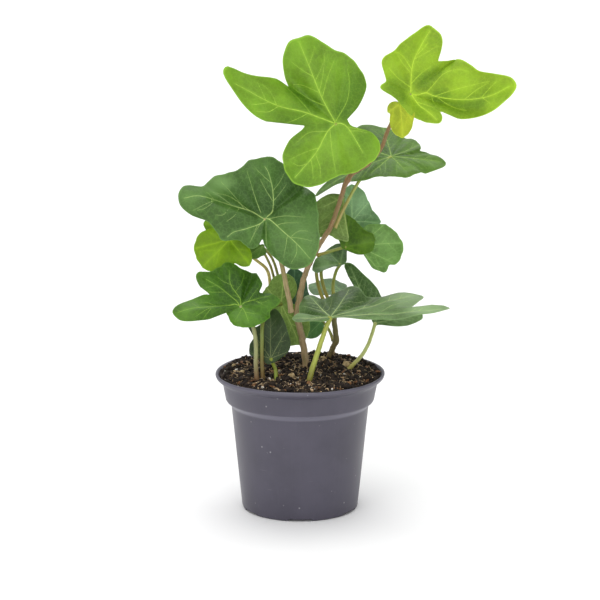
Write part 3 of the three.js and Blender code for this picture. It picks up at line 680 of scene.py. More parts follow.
class Sheet:
    """A blade's closed body, rings by spokes on both faces, with its UV layers and veins."""

    def __init__(self, name, leaf):
        self.shape = shape = Blade(name, leaf)
        longest = shape.longest
        spokes = shape.spokes(math.radians(1.5 if longest > 30 else 2.2))
        self.count, self.rings = len(spokes), int(np.clip(longest * 0.75, 14, 42))
        t = (np.arange(self.rings + 1) / self.rings)[:, None]
        rho = t * shape.outline(spokes)
        direction = np.broadcast_to(spokes, rho.shape)
        flat = np.stack([rho * np.cos(direction), rho * np.sin(direction)], -1)
        self.veins = shape.veins()
        mains = [line for line, half in self.veins if half > 0.25 * math.sqrt(longest / 55)]
        gap, main_gap = (nearest(flat.reshape(-1, 2), np.vstack(lines)).reshape(rho.shape)
                         for lines in ([line for line, _ in self.veins], mains))
        x, y, lift = shape.form(direction, rho)
        fade_in = np.clip(rho / 6, 0, 1) * (1 - t ** 6)
        quilt = min(1.0, longest / 40)
        lift = lift + quilt * fade_in * (0.30 * (1 - np.exp(-(gap / 1.7) ** 2))
                                         + 0.35 * (1 - np.exp(-(main_gap / 3.2) ** 2)))
        thick = 0.46 - 0.24 * t + 0 * rho
        top, under = shape.place(x, y, lift), shape.place(x, y, lift - thick)
        self.below = 1 + self.rings * self.count
        self.points = np.concatenate([top[0, :1], top[1:].reshape(-1, 3),
                                      under[0, :1], under[1:].reshape(-1, 3)])
        self.extent = float(np.abs(np.stack([x, y])).max()) * 1.06
        self.bake = np.stack([x, y], -1)
        self.tables = {
            "Vein": np.stack([np.minimum(gap, 9), np.minimum(main_gap, 9)], -1),
            "Span": np.stack([rho, np.broadcast_to(t, rho.shape)], -1),
            "Flat": flat,
        }
        self.corner = {"Vein": [], "Span": [], "Flat": [], "OFBake": []}
        self.faces, self.slots = [], []
        self.close()

    def at(self, ring, column, base):
        """Number of a point: base is 0 on the upper face and self.below on the lower one."""
        return base if ring == 0 else base + 1 + (ring - 1) * self.count + column % self.count

    def bake_place(self, x, y, is_under):
        """The upper face bakes in the left half of the map and the lower one in the right."""
        return (x / self.extent + 1) / 4 + (0.5 if is_under else 0), (y / self.extent + 1) / 2

    def note(self, ring, column, is_under, rim=1.0):
        column %= self.count
        for key, table in self.tables.items():
            self.corner[key].append(table[ring, column])
        x, y = self.bake[ring, column] * rim
        self.corner["OFBake"].append(self.bake_place(x, y, is_under))

    def close(self):
        """The faces of both sides and of the rim that joins them."""
        rings = self.rings
        for j in range(self.count):
            for is_under, base in ((False, 0), (True, self.below)):
                quads = [[(0, j), (1, j), (1, j + 1)]]
                quads += [[(k, j), (k + 1, j), (k + 1, j + 1), (k, j + 1)]
                          for k in range(1, rings)]
                for quad in quads:
                    if is_under:
                        quad = quad[::-1]
                    self.faces.append([self.at(k, c, base) for k, c in quad])
                    for k, c in quad:
                        self.note(k, c, is_under)
                    self.slots.append(int(is_under))
            self.faces.append([self.at(rings, j, 0), self.at(rings, j, self.below),
                               self.at(rings, j + 1, self.below), self.at(rings, j + 1, 0)])
            for c, rim in ((j, 1.0), (j, 1.02), (j + 1, 1.02), (j + 1, 1.0)):
                self.note(rings, c, False, rim)
            self.slots.append(0)

    def lay_veins(self):
        """Lays the veins on both faces; returns all the points, the body's first."""
        points = [tuple(p) for p in self.points]
        tree = BVHTree.FromPolygons([Vector(p) for p in points], self.faces)
        shape = self.shape
        for sign, slot in ((1, 2), (-1, 3)):
            strip_points, strip_faces = vein_strips(shape, self.veins, tree, sign)
            base = len(points)
            points += [tuple(p) for p in strip_points]
            for face in strip_faces:
                self.faces.append([base + i for i in face])
                self.slots.append(slot)
                for i in face:
                    rel = strip_points[i] - shape.hub
                    u, v = float(rel @ shape.right), float(rel @ shape.up)
                    self.corner["Vein"].append((0, 0))
                    self.corner["Span"].append((math.hypot(u, v), 0.5))
                    self.corner["Flat"].append((u, v))
                    self.corner["OFBake"].append(self.bake_place(u, v, sign < 0))
        return points

    def mesh(self, name):
        """The finished mesh, and its shift to the CAD node's place."""
        points = self.lay_veins()
        low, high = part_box("leaf_" + name)
        middle = (np.array(low) + np.array(high)) / 2 / MM
        shift = np.clip(middle - (self.points.min(0) + self.points.max(0)) / 2, -0.6, 0.6)
        mesh = bpy.data.meshes.new("ivy_leaf_" + name)
        mesh.from_pydata(((np.array(points) + shift) * MM).tolist(), [], self.faces)
        for key, values in self.corner.items():
            add_uv(mesh, key, values)
        mesh.shade_smooth()
        mesh.polygons.foreach_set("material_index", self.slots)
        rim = np.zeros(len(points), bool)
        for base in (0, self.below):
            first = self.at(self.rings, 0, base)
            rim[first:first + self.count] = True
        sharpen(mesh, rim)
        return mesh, shift


def leaf_material(name, tone, is_under, young, painted_shade_and_sheen=()):
    """The upper or lower face: soft zones beside the veins, a fine network, a pale margin, and, where
    given, soft patches of painted shade and painted sheen.
    """
    rough = 0.46 if young else 0.42
    m = Shader(name, Roughness=rough, IOR=1.45, Specular_IOR_Level=0.28)
    lighter = linear([min(255, c * 1.12 + 6) for c in tone])
    darker = linear([c * 0.8 for c in tone])
    pale = linear([min(255, c * 1.15 + 34) for c in tone])
    # Painted shade is a deeper, darker green; painted sheen is a paler, greyer tone, less so on young
    # leaves.
    painted_shade = linear([tone[0] * 0.56, tone[1] * 0.66, tone[2] * 0.45])
    sheen = linear([min(255, c + (14 if young else 44)) for c in tone])
    flat = m.uv("Flat")
    gap, main_gap = m.split(m.uv("Vein"))[:2]
    rho, t = m.split(m.uv("Span"))[:2]

    small = m.noise(flat, 0.35, 3, 0.55)
    colour = m.mix(m.fade(m.noise(flat, 0.06, 2, 0.5), 0.3, 0.7), darker, linear(tone))
    colour = m.layer(colour, m.fade(small, 0.4, 0.75), 0.25 if young else 0.5, lighter)
    wander = m.shift(flat, m.noise(flat, 0.12, 2, 0.5, out=1), 6.0)
    # Patches of painted shade (amount under 0) and painted sheen (amount over 0), each fading out from
    # its point.
    for x, y, size, amount in painted_shade_and_sheen:
        away = m.node("VectorMath", {0: wander, 1: (x, y, 0)}, out=1, operation="DISTANCE")
        colour = m.mix(m.fade(away, 0.0, size * 1.5, abs(amount), 0.0), colour,
                       painted_shade if amount < 0 else sheen)
    warp = m.shift(flat, m.noise(flat, 0.5, 2, 0.5, out=1), 1.6)
    net = m.fade(m.cells(warp, 0.42), 0.0, 0.10, 1.0, 0.0)
    fine = m.fade(m.cells(warp, 1.25), 0.0, 0.16, 1.0, 0.0)
    beside_veins = m.fade(gap, 0.0, 1.0, 1.0, 0.0)
    beside_mains = m.fade(main_gap, 0.2, 1.6, 1.0, 0.0)
    round_hub = m.fade(rho, 0.8, 4.5, 1.0, 0.0)
    between_veins = m.fade(gap, 0.4, 3.2)
    margin = m.fade(t, 0.97, 0.995)
    net_share = 0.26 if is_under else (0.1 if young else 0.2)
    for mask, amount, over in ((fine, 0.05, pale), (net, net_share, pale),
                               (beside_veins, 0.12, pale), (beside_mains, 0.14, pale),
                               (round_hub, 0.18, pale), (between_veins, 0.12, darker),
                               (margin, 0.4, pale)):
        colour = m.layer(colour, mask, amount, over)
    m.colour(colour)
    m.put(m.body.inputs["Roughness"],
          0.55 if is_under else m.fade(small, 0.3, 0.7, rough - 0.06, rough + 0.08))
    height = m.math("ADD", m.times(m.noise(flat, 3.0, 2, 0.6), 0.12), m.noise(flat, 0.4, 3, 0.55))
    height = m.math("ADD" if is_under else "SUBTRACT", height, m.times(net, 0.10))
    m.bump(height, 0.0003, 0.6)
    m.put(m.body.inputs["Subsurface Weight"], 0.1 if young else 0.0)
    m.put(m.body.inputs["Subsurface Radius"], (0.4, 1.0, 0.1))
    m.put(m.body.inputs["Subsurface Scale"], 0.0008)
    return m.material


def vein_material(name, tone, young, strength):
    """The blade's colour made paler and warmer."""
    m = Shader(name, Roughness=0.5, IOR=1.45, Specular_IOR_Level=0.36)
    lift = (30 if young else 58) * strength
    paler = [min(250, c * 1.12 + lift * k) for c, k in zip(tone, (1.0, 0.85, 0.72))]
    where = m.uv("Flat")
    m.colour(m.mix(m.fade(m.noise(where, 0.5, 2, 0.5), 0.3, 0.7),
                   linear([c * 0.86 for c in paler]), linear(paler)))
    m.bump(m.noise(where, 2.5, 2, 0.5), 0.0001, 0.4)
    return m.material


def under_tone(leaf):
    r, g, b = leaf.tone
    return leaf.under or (r * 0.75 + 35, g * 0.75 + 42, b * 0.7 + 28)


SHIFTS = {}
for name, leaf in LEAVES.items():
    mesh, SHIFTS[name] = Sheet(name, leaf).mesh(name)
    under, young = under_tone(leaf), leaf.young
    finish_piece(
        "ivy_leaf_" + name, mesh, "leaf_" + name, "leaf_young" if young else "leaf_old",
        leaf_material(f"leaf_{name}_upper", leaf.tone, False, young, leaf.painted_shade_and_sheen),
        leaf_material(f"leaf_{name}_lower", under, True, young),
        vein_material(f"vein_{name}_upper", leaf.tone, young, leaf.vein),
        vein_material(f"vein_{name}_lower", under, young, 0.9))


# ---------------------------------------------------------------- stems and petioles
def ring_quads(rows, count, first=0):
    """Quads between closed rings of points, numbered ring by ring."""
    faces = []
    for k in range(rows - 1):
        a, b = first + k * count, first + (k + 1) * count
        for j in range(count):
            n = (j + 1) % count
            faces.append([a + j, a + n, b + n, b + j])
    return faces


def tube(name, path, even, radius):
    """A closed round shoot; radius is an array of rings by sides, in mm."""
    rings, sides = radius.shape
    tangent = np.gradient(path, axis=0)
    tangent /= np.linalg.norm(tangent, axis=1)[:, None]
    side = np.cross(tangent[0], [0.3, 1, 0.2])
    side /= np.linalg.norm(side)
    turn = np.arange(sides) / sides * 2 * math.pi
    points = []
    for k in range(rings):
        side = side - tangent[k] * (side @ tangent[k])
        side /= np.linalg.norm(side)
        other = np.cross(tangent[k], side)
        ring = np.cos(turn)[:, None] * side + np.sin(turn)[:, None] * other
        points.append(path[k] + radius[k][:, None] * ring)
    points = np.vstack([*points, path[:1], path[-1:] + tangent[-1:] * radius[-1].mean() * 0.5])
    foot, tip, last = rings * sides, rings * sides + 1, (rings - 1) * sides
    faces, uv = ring_quads(rings, sides), []
    for low, high in zip(even / even[-1], even[1:] / even[-1]):
        for j in range(sides):
            a, b = j / sides, (j + 1) / sides
            uv += [(a, low), (b, low), (b, high), (a, high)]
    for j in range(sides):
        n = (j + 1) % sides
        faces += [[foot, n, j], [tip, last + j, last + n]]
        uv += [(0.5, 0)] * 3 + [(0.5, 1)] * 3
    mesh = bpy.data.meshes.new(name)
    mesh.from_pydata((points * MM).tolist(), [], faces)
    add_uv(mesh, "Shoot", uv)
    mesh.shade_smooth()
    return mesh


def shoot_material(name, low, high, woody, length, change):
    """Streaked skin that passes from the foot's colour to the tip's between two places."""
    m = Shader(name, Roughness=0.55 if woody else 0.42, IOR=1.45)
    around, along = m.split(m.uv("Shoot"))[:2]
    where = m.node("TexCoord", out=3)
    streak_at = m.node("CombineXYZ", {0: m.times(around, 9.0), 1: m.times(along, length * 0.13)})
    streak = m.noise(streak_at, 1.6, 4, 0.65)
    patch = m.noise(where, 140.0, 3, 0.6)
    fine = m.noise(where, 900.0, 2, 0.6)
    passing = m.math("ADD", along, m.times(m.math("SUBTRACT", patch, 0.5), 0.3))
    colour = m.mix(m.fade(passing, *change), linear(low), linear(high))
    dark = 0.62 if woody else 0.78
    shade = m.mix(1.0, colour, (dark, dark * 0.93, dark * 0.85, 1), "MULTIPLY")
    colour = m.mix(m.fade(streak, 0.5, 0.72), colour, shade)
    second = m.noise(streak_at, 0.9, 2, 0.5)
    colour = m.layer(colour, m.fade(second, 0.5, 0.62), 0.5 if woody else 0.3,
                     linear((112, 112, 58) if woody else (118, 112, 44)))
    light = linear([min(255, c * 1.15 + 22) for c in low])
    colour = m.layer(colour, m.fade(streak, 0.42, 0.28), 0.5 if woody else 0.25, light)
    pits = m.cells(where, 620.0 if woody else 900.0, "F1")
    dots = m.fade(pits, 0.05, 0.22, 1.0, 0.0)
    colour = m.layer(colour, dots, 0.55 if woody else 0.22,
                     linear((214, 190, 160) if woody else (190, 200, 120)))
    m.colour(colour)
    height = m.math("ADD", m.times(streak, 0.9), m.times(fine, 0.35))
    height = m.math("ADD", height, m.times(dots, 0.25))
    m.bump(height, 0.0004 if woody else 0.0002, 0.7)
    return m.material


# The skin at the foot and at the tip.
PLAIN_SHOOT = ((150, 144, 60), (152, 164, 78))
SHOOT_TONES = {
    "stem_main": ((170, 146, 108), (146, 112, 74)),
    "stem_right": ((112, 96, 58), (122, 118, 68)),
    "big_left": ((196, 172, 130), (168, 152, 100)),
    "young_left": ((210, 186, 122), (198, 184, 106)),
    "young_back": ((170, 166, 98), (150, 150, 72)),
    "small_inner": ((170, 168, 100), (150, 154, 80)),
    "lower_left": ((134, 102, 74), (154, 160, 106)),
    "low_back": ((118, 94, 52), (128, 144, 66)),
    "low_front": ((124, 130, 48), (140, 156, 58)),
    "front_right": ((116, 108, 40), (164, 174, 74)),
    "low_right": ((172, 164, 84), (198, 208, 130)),
    "upper_right": ((172, 160, 92), (164, 178, 84)),
    "top_left": ((156, 150, 84), (160, 180, 76)),
}


def knobbly(even, radii, sides, seed, knots, rough):
    """Radii, rings by sides, of a shoot with swellings at its knots and a flare at its tip."""
    rng = np.random.default_rng(seed)
    radius = np.interp(even / even[-1], *zip(*radii))
    radius = radius * (1 + 0.25 * np.exp(-(even[-1] - even) / 1.6))
    for place, size, spread in knots:
        radius = radius + size * np.exp(-((even - place * even[-1]) / spread) ** 2)
    turn = np.arange(sides) / sides * 2 * math.pi
    p = rng.uniform(0, 6.28, 6)
    bumps = (np.sin(0.9 * even[:, None] + p[0]) * np.sin(turn + p[1])
             + 0.7 * np.sin(1.9 * even[:, None] + 2 * turn + p[2])
             + 0.6 * np.sin(3 * turn + 0.35 * even[:, None] + p[3]))
    return radius[:, None] * (1 + rough * bumps)


for name, stem in STEMS.items():
    path, even = smooth_path(planted(stem["points"]))
    radius = knobbly(even, stem["radii"], 24, 3, stem["knots"], 0.06)
    finish_piece("ivy_" + name, tube("ivy_" + name, path, even, radius), name, "bark",
                 shoot_material(name + "_bark", *SHOOT_TONES[name], True, even[-1], (0.25, 0.75)))

for name, leaf in LEAVES.items():
    out, _, _ = axes_of(leaf.facing)
    end = np.array(leaf.hub, float) + SHIFTS[name] - 0.35 * out
    path, even = smooth_path([*planted(leaf.petiole), end.tolist()])
    from_soil = leaf.petiole[0][2] < SOIL_LEVEL
    foot = (0.0, 0.5, 6) if from_soil else (0.0, 0.25, 1.5)
    radius = knobbly(even, tuple(enumerate(leaf.radii)), 18, sum(map(ord, name)), [foot], 0.035)
    piece = "ivy_petiole_" + name
    finish_piece(piece, tube(piece, path, even, radius), "petiole_" + name, "petiole",
                 shoot_material(f"petiole_{name}_skin", *SHOOT_TONES.get(name, PLAIN_SHOOT),
                                name == "big_left", even[-1], (0.12, 0.5)))


# ---------------------------------------------------------------- pot
pot_low, pot_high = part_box("pot")
RIM = (pot_high.x - pot_low.x) / 2 / MM
HEIGHT = pot_high.z / MM
SIDES = 288
FEET = 6                # notches under the edge, and drain holes between them


def lathe_pot():
    """The thin-walled pot: foot, tapering body, sloping ledge, band and rolled rim."""
    profile = np.array([
        [0, 0.25], [12, 0.25], [26, 0.12], [29.4, 0], [30.3, 0.15], [30.8, 0.6], [31.05, 1.4],
        [31.6, 6.5], [32.6, 16], [33.6, 26], [34.6, 36], [35.6, 46], [36.6, 55.5],
        [36.85, 56.5], [37.3, 57.3], [38.4, 58.4], [39.15, 59.0], [39.55, 59.6], [39.75, 60.3],
        [40.2, 63], [40.7, 65.5], [41.15, 68.3], [41.5, 69.2], [42.2, 69.9], [43.3, 70.6],
        [44.1, 71.3], [44.7, 72.1], [45, 73], [44.95, 73.6], [44.7, 73.92], [44.3, 74],
        [43.8, 73.8], [43.2, 73.2], [42.2, 72], [41, 70.6], [40.2, 69], [39.6, 65.5],
        [39, 62], [38.5, 59.9], [37.7, 58.8], [36.1, 57.5], [35.6, 56.3], [34.5, 46],
        [33.5, 36], [32.5, 26], [31.5, 16], [30.6, 7], [30, 3.2], [29.2, 2.3], [26, 2.2],
        [12, 2.2], [0, 2.2]])
    profile[:, 0] *= RIM / 45
    profile[:, 1] *= HEIGHT / 74
    turn = np.arange(SIDES) / SIDES * 2 * math.pi - math.pi / 2
    radius = profile[1:-1, 0][:, None] * np.ones(SIDES)
    height = profile[1:-1, 1][:, None] * np.ones(SIDES)
    # Slightly out of round and uneven at the lip, as thin moulded plastic is.
    lip = np.clip((height - 60) / 14, 0, 1)
    radius = radius + lip * (0.16 * np.sin(2 * turn + 0.6) + 0.07 * np.sin(5 * turn + 2))
    height = height + lip * (0.14 * np.sin(3 * turn + 1.2) + 0.05 * np.sin(11 * turn))
    points = np.stack([radius * np.cos(turn), radius * np.sin(turn), height], -1)
    rings = len(points)
    flat = np.vstack([points.reshape(-1, 3), [[0, 0, profile[0, 1]], [0, 0, profile[-1, 1]]]])
    faces = ring_quads(rings, SIDES)
    below, above = rings * SIDES, rings * SIDES + 1
    for j in range(SIDES):
        n = (j + 1) % SIDES
        faces.append([below, n, j])
        faces.append([above, (rings - 1) * SIDES + j, (rings - 1) * SIDES + n])
    return new_mesh("nursery_pot", flat * MM, faces)


def block(size, at, turn):
    bpy.ops.mesh.primitive_cube_add(size=1, location=at, rotation=(0, 0, turn))
    made = bpy.context.object
    made.scale = size
    return made


def peg(radius, depth, at):
    bpy.ops.mesh.primitive_cylinder_add(vertices=40, radius=radius, depth=depth, location=at)
    return bpy.context.object


def cut(piece, cutters):
    """Takes the temporary cutters out of the piece."""
    for cutter in cutters:
        step = piece.modifiers.new("cut", "BOOLEAN")
        step.operation, step.object, step.solver = "DIFFERENCE", cutter, "EXACT"
    bpy.context.view_layer.update()
    evaluated = piece.evaluated_get(bpy.context.evaluated_depsgraph_get())
    mesh = bpy.data.meshes.new_from_object(evaluated)
    piece.modifiers.clear()
    piece.data = mesh
    for cutter in cutters:
        bpy.data.objects.remove(cutter)


def pot_material():
    m = Shader("pot_plastic", Roughness=0.4, IOR=1.5)
    where = m.node("TexCoord", out=3)
    x, y, z = m.split(where)[:3]
    haze = m.noise(where, 38.0, 4, 0.6)
    dusty = m.noise(where, 160.0, 4, 0.7)
    turn = m.math("ARCTAN2", y, x)
    long_way = m.node("CombineXYZ", {0: m.times(turn, 34.0), 1: m.times(z, 22.0)})
    streak = m.noise(long_way, 1.0, 3, 0.6)
    round_way = m.node("CombineXYZ", {0: m.times(turn, 0.8), 1: m.times(z, 900.0)})
    rings = m.noise(round_way, 1.0, 2, 0.5)
    colour = m.mix(m.fade(haze, 0.3, 0.7), linear((68, 65, 78)), linear((77, 74, 88)))
    colour = m.layer(colour, m.fade(streak, 0.52, 0.75), 0.06, linear((100, 98, 110)))
    specks = m.cells(where, 260.0, "F1")
    chosen = m.fade(m.noise(where, 210.0, 1, 0.5), 0.61, 0.67)
    dots = m.times(m.fade(specks, 0.07, 0.16, 1.0, 0.0), chosen)
    colour = m.layer(colour, dots, 0.55, linear((170, 168, 172)))
    scratch_at = m.node("Mapping", {"Vector": where, "Rotation": (0.5, 0.9, 0.4),
                                    "Scale": (30.0, 30.0, 700.0)})
    scratch = m.times(m.fade(m.noise(scratch_at, 1.0, 2, 0.5), 0.70, 0.76),
                      m.fade(m.noise(where, 60.0, 1, 0.5), 0.55, 0.65))
    colour = m.layer(colour, scratch, 0.5, linear((150, 148, 155)))
    # Painted highlight: the lip and the ledge are made lighter in colour, where they catch more light
    # than the smooth walls.
    lip = m.times(m.fade(z, 0.0718, 0.0728), 0.4)
    ledge = m.times(m.fade(z, 0.0560, 0.0573), m.fade(z, 0.0590, 0.0600, 1.0, 0.0))
    colour = m.layer(colour, m.math("MAXIMUM", lip, ledge), 0.5, linear((132, 130, 144)))
    dust = m.times(m.fade(dusty, 0.62, 0.8), m.fade(z, 0.004, 0.02, 1.0, 0.15))
    colour = m.layer(colour, dust, 0.5, linear((128, 124, 120)))
    m.colour(colour)
    m.put(m.body.inputs["Roughness"], m.fade(haze, 0.25, 0.75, 0.34, 0.48))
    height = m.math("ADD", m.times(m.noise(where, 1500.0, 2, 0.5), 0.25), m.times(rings, 0.2))
    height = m.math("ADD", height, m.times(haze, 0.4))
    m.bump(height, 0.0001, 0.5)
    return m.material


pot = bpy.data.objects.new("nursery_pot", lathe_pot())
bpy.context.scene.collection.objects.link(pot)
cutters = []
for i in range(FEET):
    turn = i / FEET * 2 * math.pi - math.pi / 2
    hole = turn + math.pi / FEET
    cutters.append(block((0.016, 0.012, 0.0026), (0.031 * math.cos(turn), 0.031 * math.sin(turn), 0),
                         turn))
    cutters.append(peg(0.0026, 0.008, (0.01922 * math.cos(hole), 0.01922 * math.sin(hole), 0.001)))
cut(pot, cutters)
pot.data.materials.clear()
pot.data.materials.append(pot_material())
pot.data.shade_smooth()
pot.data.set_sharp_from_angle(angle=math.radians(42))
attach(pot, "root")
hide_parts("pot")


# ---------------------------------------------------------------- soil
INNER = 43.2            # radius of the soil's top


def hash_noise(x, y, scale, seed):
    """Smooth value noise on a plane, -1..1."""
    rng = np.random.default_rng(seed)
    table = rng.uniform(-1, 1, (64, 64))
    u, v = x * scale + 100, y * scale + 100
    i, j = np.floor(u).astype(int), np.floor(v).astype(int)
    f, g = u - i, v - j
    f, g = f * f * (3 - 2 * f), g * g * (3 - 2 * g)
    a, b = table[i % 64, j % 64], table[(i + 1) % 64, j % 64]
    c, d = table[i % 64, (j + 1) % 64], table[(i + 1) % 64, (j + 1) % 64]
    return (a * (1 - f) + b * f) * (1 - g) + (c * (1 - f) + d * f) * g


def soil_height(x, y):
    """Height of the soil's top: a low dome with clods of several sizes."""
    r = np.hypot(x, y) / INNER
    clods = np.sin(0.9 * x + 1) * np.cos(0.8 * y) + np.sin(0.37 * x - 0.51 * y)
    rise = 73.4 + 1.9 * (1 - r * r) + 0.3 * clods
    return (rise + 0.7 * hash_noise(x, y, 0.22, 1) + 0.55 * hash_noise(x, y, 0.55, 2)
            + 0.35 * hash_noise(x, y, 1.2, 3))


def soil_material():
    m = Shader("potting_soil", Roughness=0.92, IOR=1.4)
    where = m.node("TexCoord", out=3)
    grain = m.noise(where, 600.0, 5, 0.7)
    broad = m.noise(where, 170.0, 3, 0.6)
    colour = m.mix(m.fade(grain, 0.35, 0.65), linear((12, 10, 9)), linear((56, 45, 38)))
    colour = m.layer(colour, m.fade(broad, 0.5, 0.75), 0.5, linear((84, 66, 48)))
    fibre_at = m.node("Mapping", {"Vector": where, "Rotation": (0.3, 0.5, 0.8),
                                  "Scale": (1500.0, 160.0, 500.0)})
    fibre = m.fade(m.noise(fibre_at, 1.0, 2, 0.5), 0.66, 0.76)
    m.colour(m.layer(colour, fibre, 0.6, linear((168, 138, 100))))
    m.bump(m.math("ADD", grain, m.times(fibre, 0.4)), 0.0009, 0.9)
    return m.material


def soil_bed():
    """The soil down to the pot's floor, with a finely broken top."""
    radii = np.concatenate([np.linspace(0, 40.5, 82)[1:], np.linspace(40.9, 43.0, 6)])
    turns = 300
    turn = np.arange(turns) / turns * 2 * math.pi
    top = []
    for r in radii:
        x, y = r * np.cos(turn), r * np.sin(turn)
        top.append(np.stack([x, y, soil_height(x, y)], 1))
    # The wall side goes down inside the pot.
    wall = [(42.4, 72.0), (41.1, 70.6), (40.3, 69.0), (39.4, 65.0), (38.3, 60.2), (35.4, 55.9),
            (29.6, 2.5)]
    rows = top + [np.stack([r * np.cos(turn), r * np.sin(turn), np.full(turns, z)], 1)
                  for r, z in wall]
    points = np.vstack([*rows, [[0, 0, float(soil_height(np.zeros(1), np.zeros(1))[0])],
                                [0, 0, 2.5]]])
    count = len(rows)
    faces = []
    for k in range(count - 1):
        for j in range(turns):
            n = (j + 1) % turns
            faces.append([k * turns + j, (k + 1) * turns + j, (k + 1) * turns + n, k * turns + n])
    for j in range(turns):
        n = (j + 1) % turns
        faces.append([count * turns, j, n])
        faces.append([count * turns + 1, (count - 1) * turns + n, (count - 1) * turns + j])
    return new_mesh("soil_bed", points * MM, faces)


soil = soil_material()
finish_piece("soil_bed", soil_bed(), "soil", "soil", soil)


def unit_lump():
    bpy.ops.mesh.primitive_ico_sphere_add(subdivisions=2, radius=1)
    made = bpy.context.object
    points = np.array([v.co for v in made.data.vertices])
    faces = np.array([list(p.vertices) for p in made.data.polygons])
    bpy.data.objects.remove(made)
    return points, faces


LUMP, LUMP_FACES = unit_lump()


def turned(rng):
    """A random rotation."""
    q = rng.normal(size=4)
    w, x, y, z = q / np.linalg.norm(q)
    return np.array([[1 - 2 * (y * y + z * z), 2 * (x * y - z * w), 2 * (x * z + y * w)],
                     [2 * (x * y + z * w), 1 - 2 * (x * x + z * z), 2 * (y * z - x * w)],
                     [2 * (x * z - y * w), 2 * (y * z + x * w), 1 - 2 * (x * x + y * y)]])


def spot(rng, most):
    """A random place on the soil, less than most from its middle."""
    r, a = most * math.sqrt(rng.uniform()), rng.uniform(0, 2 * math.pi)
    return r * math.cos(a), r * math.sin(a)


def grains(name, count, sizes, shape, seed, material, most=0.0, sink=0.25, rough=0.28,
           places=None):
    """Irregular lumps lying in the soil, joined into one piece. shape scales their three axes."""
    rng = np.random.default_rng(seed)
    points, faces = [], []
    for i in range(count):
        size = sizes[0] + (sizes[1] - sizes[0]) * rng.uniform() ** 2.2
        x, y = places[i][:2] if places else spot(rng, most - size)
        if places:
            size = places[i][2]
        warp = 1 + rough * np.sin(LUMP @ rng.normal(size=3) * 2.4 + rng.uniform(0, 6)) \
            + rough * 0.6 * np.sin(LUMP @ rng.normal(size=3) * 4.5 + rng.uniform(0, 6))
        lump = LUMP * warp[:, None] * (np.array(shape) * rng.uniform(0.7, 1.3, 3)) * size
        tilt = turned(rng)
        if max(shape) > 1.5 * min(shape):
            a = rng.uniform(0, 2 * math.pi)
            lean = rng.normal(0, 0.35)
            flat_turn = np.array([[math.cos(a), -math.sin(a), 0], [math.sin(a), math.cos(a), 0],
                                  [0, 0, 1]])
            rise = np.array([[math.cos(lean), 0, -math.sin(lean)], [0, 1, 0],
                             [math.sin(lean), 0, math.cos(lean)]])
            tilt = flat_turn @ rise
        z = float(soil_height(np.array([x]), np.array([y]))[0])
        centre = np.array([x, y, z + size * min(shape) * (1 - 2 * sink)])
        faces.append(LUMP_FACES + len(LUMP) * i)
        points.append(lump @ tilt.T + centre)
    mesh = new_mesh(name, np.vstack(points) * MM, np.vstack(faces))
    return finish_piece(name, mesh, None, "soil", material)


def grain_material(name, dark, light, rough):
    m = Shader(name, Roughness=rough, IOR=1.4)
    where = m.node("TexCoord", out=3)
    grain = m.noise(where, 900.0, 4, 0.65)
    broad = m.noise(where, 180.0, 2, 0.5)
    colour = m.mix(m.fade(grain, 0.35, 0.65), linear(dark), linear(light))
    colour = m.layer(colour, m.fade(broad, 0.45, 0.7), 0.5, linear([c * 0.7 for c in dark]))
    m.colour(colour)
    m.bump(grain, 0.0003, 0.8)
    return m.material


def straws(name, count, lengths, radius, seed, material, most):
    """Bent fibres and root threads on the soil, joined into one piece."""
    rng = np.random.default_rng(seed)
    points, faces, base = [], [], 0
    sides = 6
    for _ in range(count):
        x, y = spot(rng, most - 3)
        a, length = rng.uniform(0, 2 * math.pi), rng.uniform(*lengths)
        r = radius * rng.uniform(0.6, 1.4)
        curl = rng.normal(0, 0.5)
        steps = 9
        u = np.linspace(-0.5, 0.5, steps)
        heading = a + curl * u
        px = x + np.cumsum(np.cos(heading)) * length / steps - length / 2 * math.cos(a)
        py = y + np.cumsum(np.sin(heading)) * length / steps - length / 2 * math.sin(a)
        keep = np.minimum(1, 42.8 / np.maximum(np.hypot(px, py), 1e-6))
        px, py = px * keep, py * keep
        arch = rng.uniform(0.2, 1.4) * np.cos(np.pi * u) + rng.uniform(-0.5, 0.9) * u
        pz = soil_height(px, py).mean() + arch + 0.2
        path = np.stack([px, py, pz], 1)
        tangent = np.gradient(path, axis=0)
        tangent /= np.linalg.norm(tangent, axis=1)[:, None] + 1e-9
        side = np.cross(tangent, [0, 0, 1.0])
        side /= np.linalg.norm(side, axis=1)[:, None] + 1e-9
        other = np.cross(tangent, side)
        for k in range(steps):
            thin = r * (1 - 0.7 * abs(u[k]) * 1.6)
            turn = np.arange(sides) / sides * 2 * math.pi
            points.append(path[k] + thin * (np.cos(turn)[:, None] * side[k]
                                            + 0.7 * np.sin(turn)[:, None] * other[k]))
        faces += ring_quads(steps, sides, base)
        faces.append([base + j for j in range(sides)][::-1])
        faces.append([base + (steps - 1) * sides + j for j in range(sides)])
        base += steps * sides
    mesh = new_mesh(name, np.vstack(points) * MM, faces)
    return finish_piece(name, mesh, None, "soil", material)


BARK_CHIP = grain_material("bark_chip", (88, 58, 36), (150, 108, 70), 0.8)
PALE_CHIP = grain_material("pale_chip", (176, 142, 104), (222, 194, 156), 0.8)
PERLITE = grain_material("perlite", (212, 204, 190), (244, 240, 232), 0.85)
LUMP_SKIN = grain_material("soil_lump", (150, 126, 88), (200, 178, 136), 0.8)
FIBRE = grain_material("peat_fibre", (158, 128, 92), (224, 200, 164), 0.85)
# x, y and size of the five big lumps.
LUMPS = [(24.6, 3.6, 2.3), (-4.6, -20.5, 1.9), (12.8, 19.5, 1.9), (-35.5, 8.0, 1.6),
         (-31.0, -6.0, 1.5)]

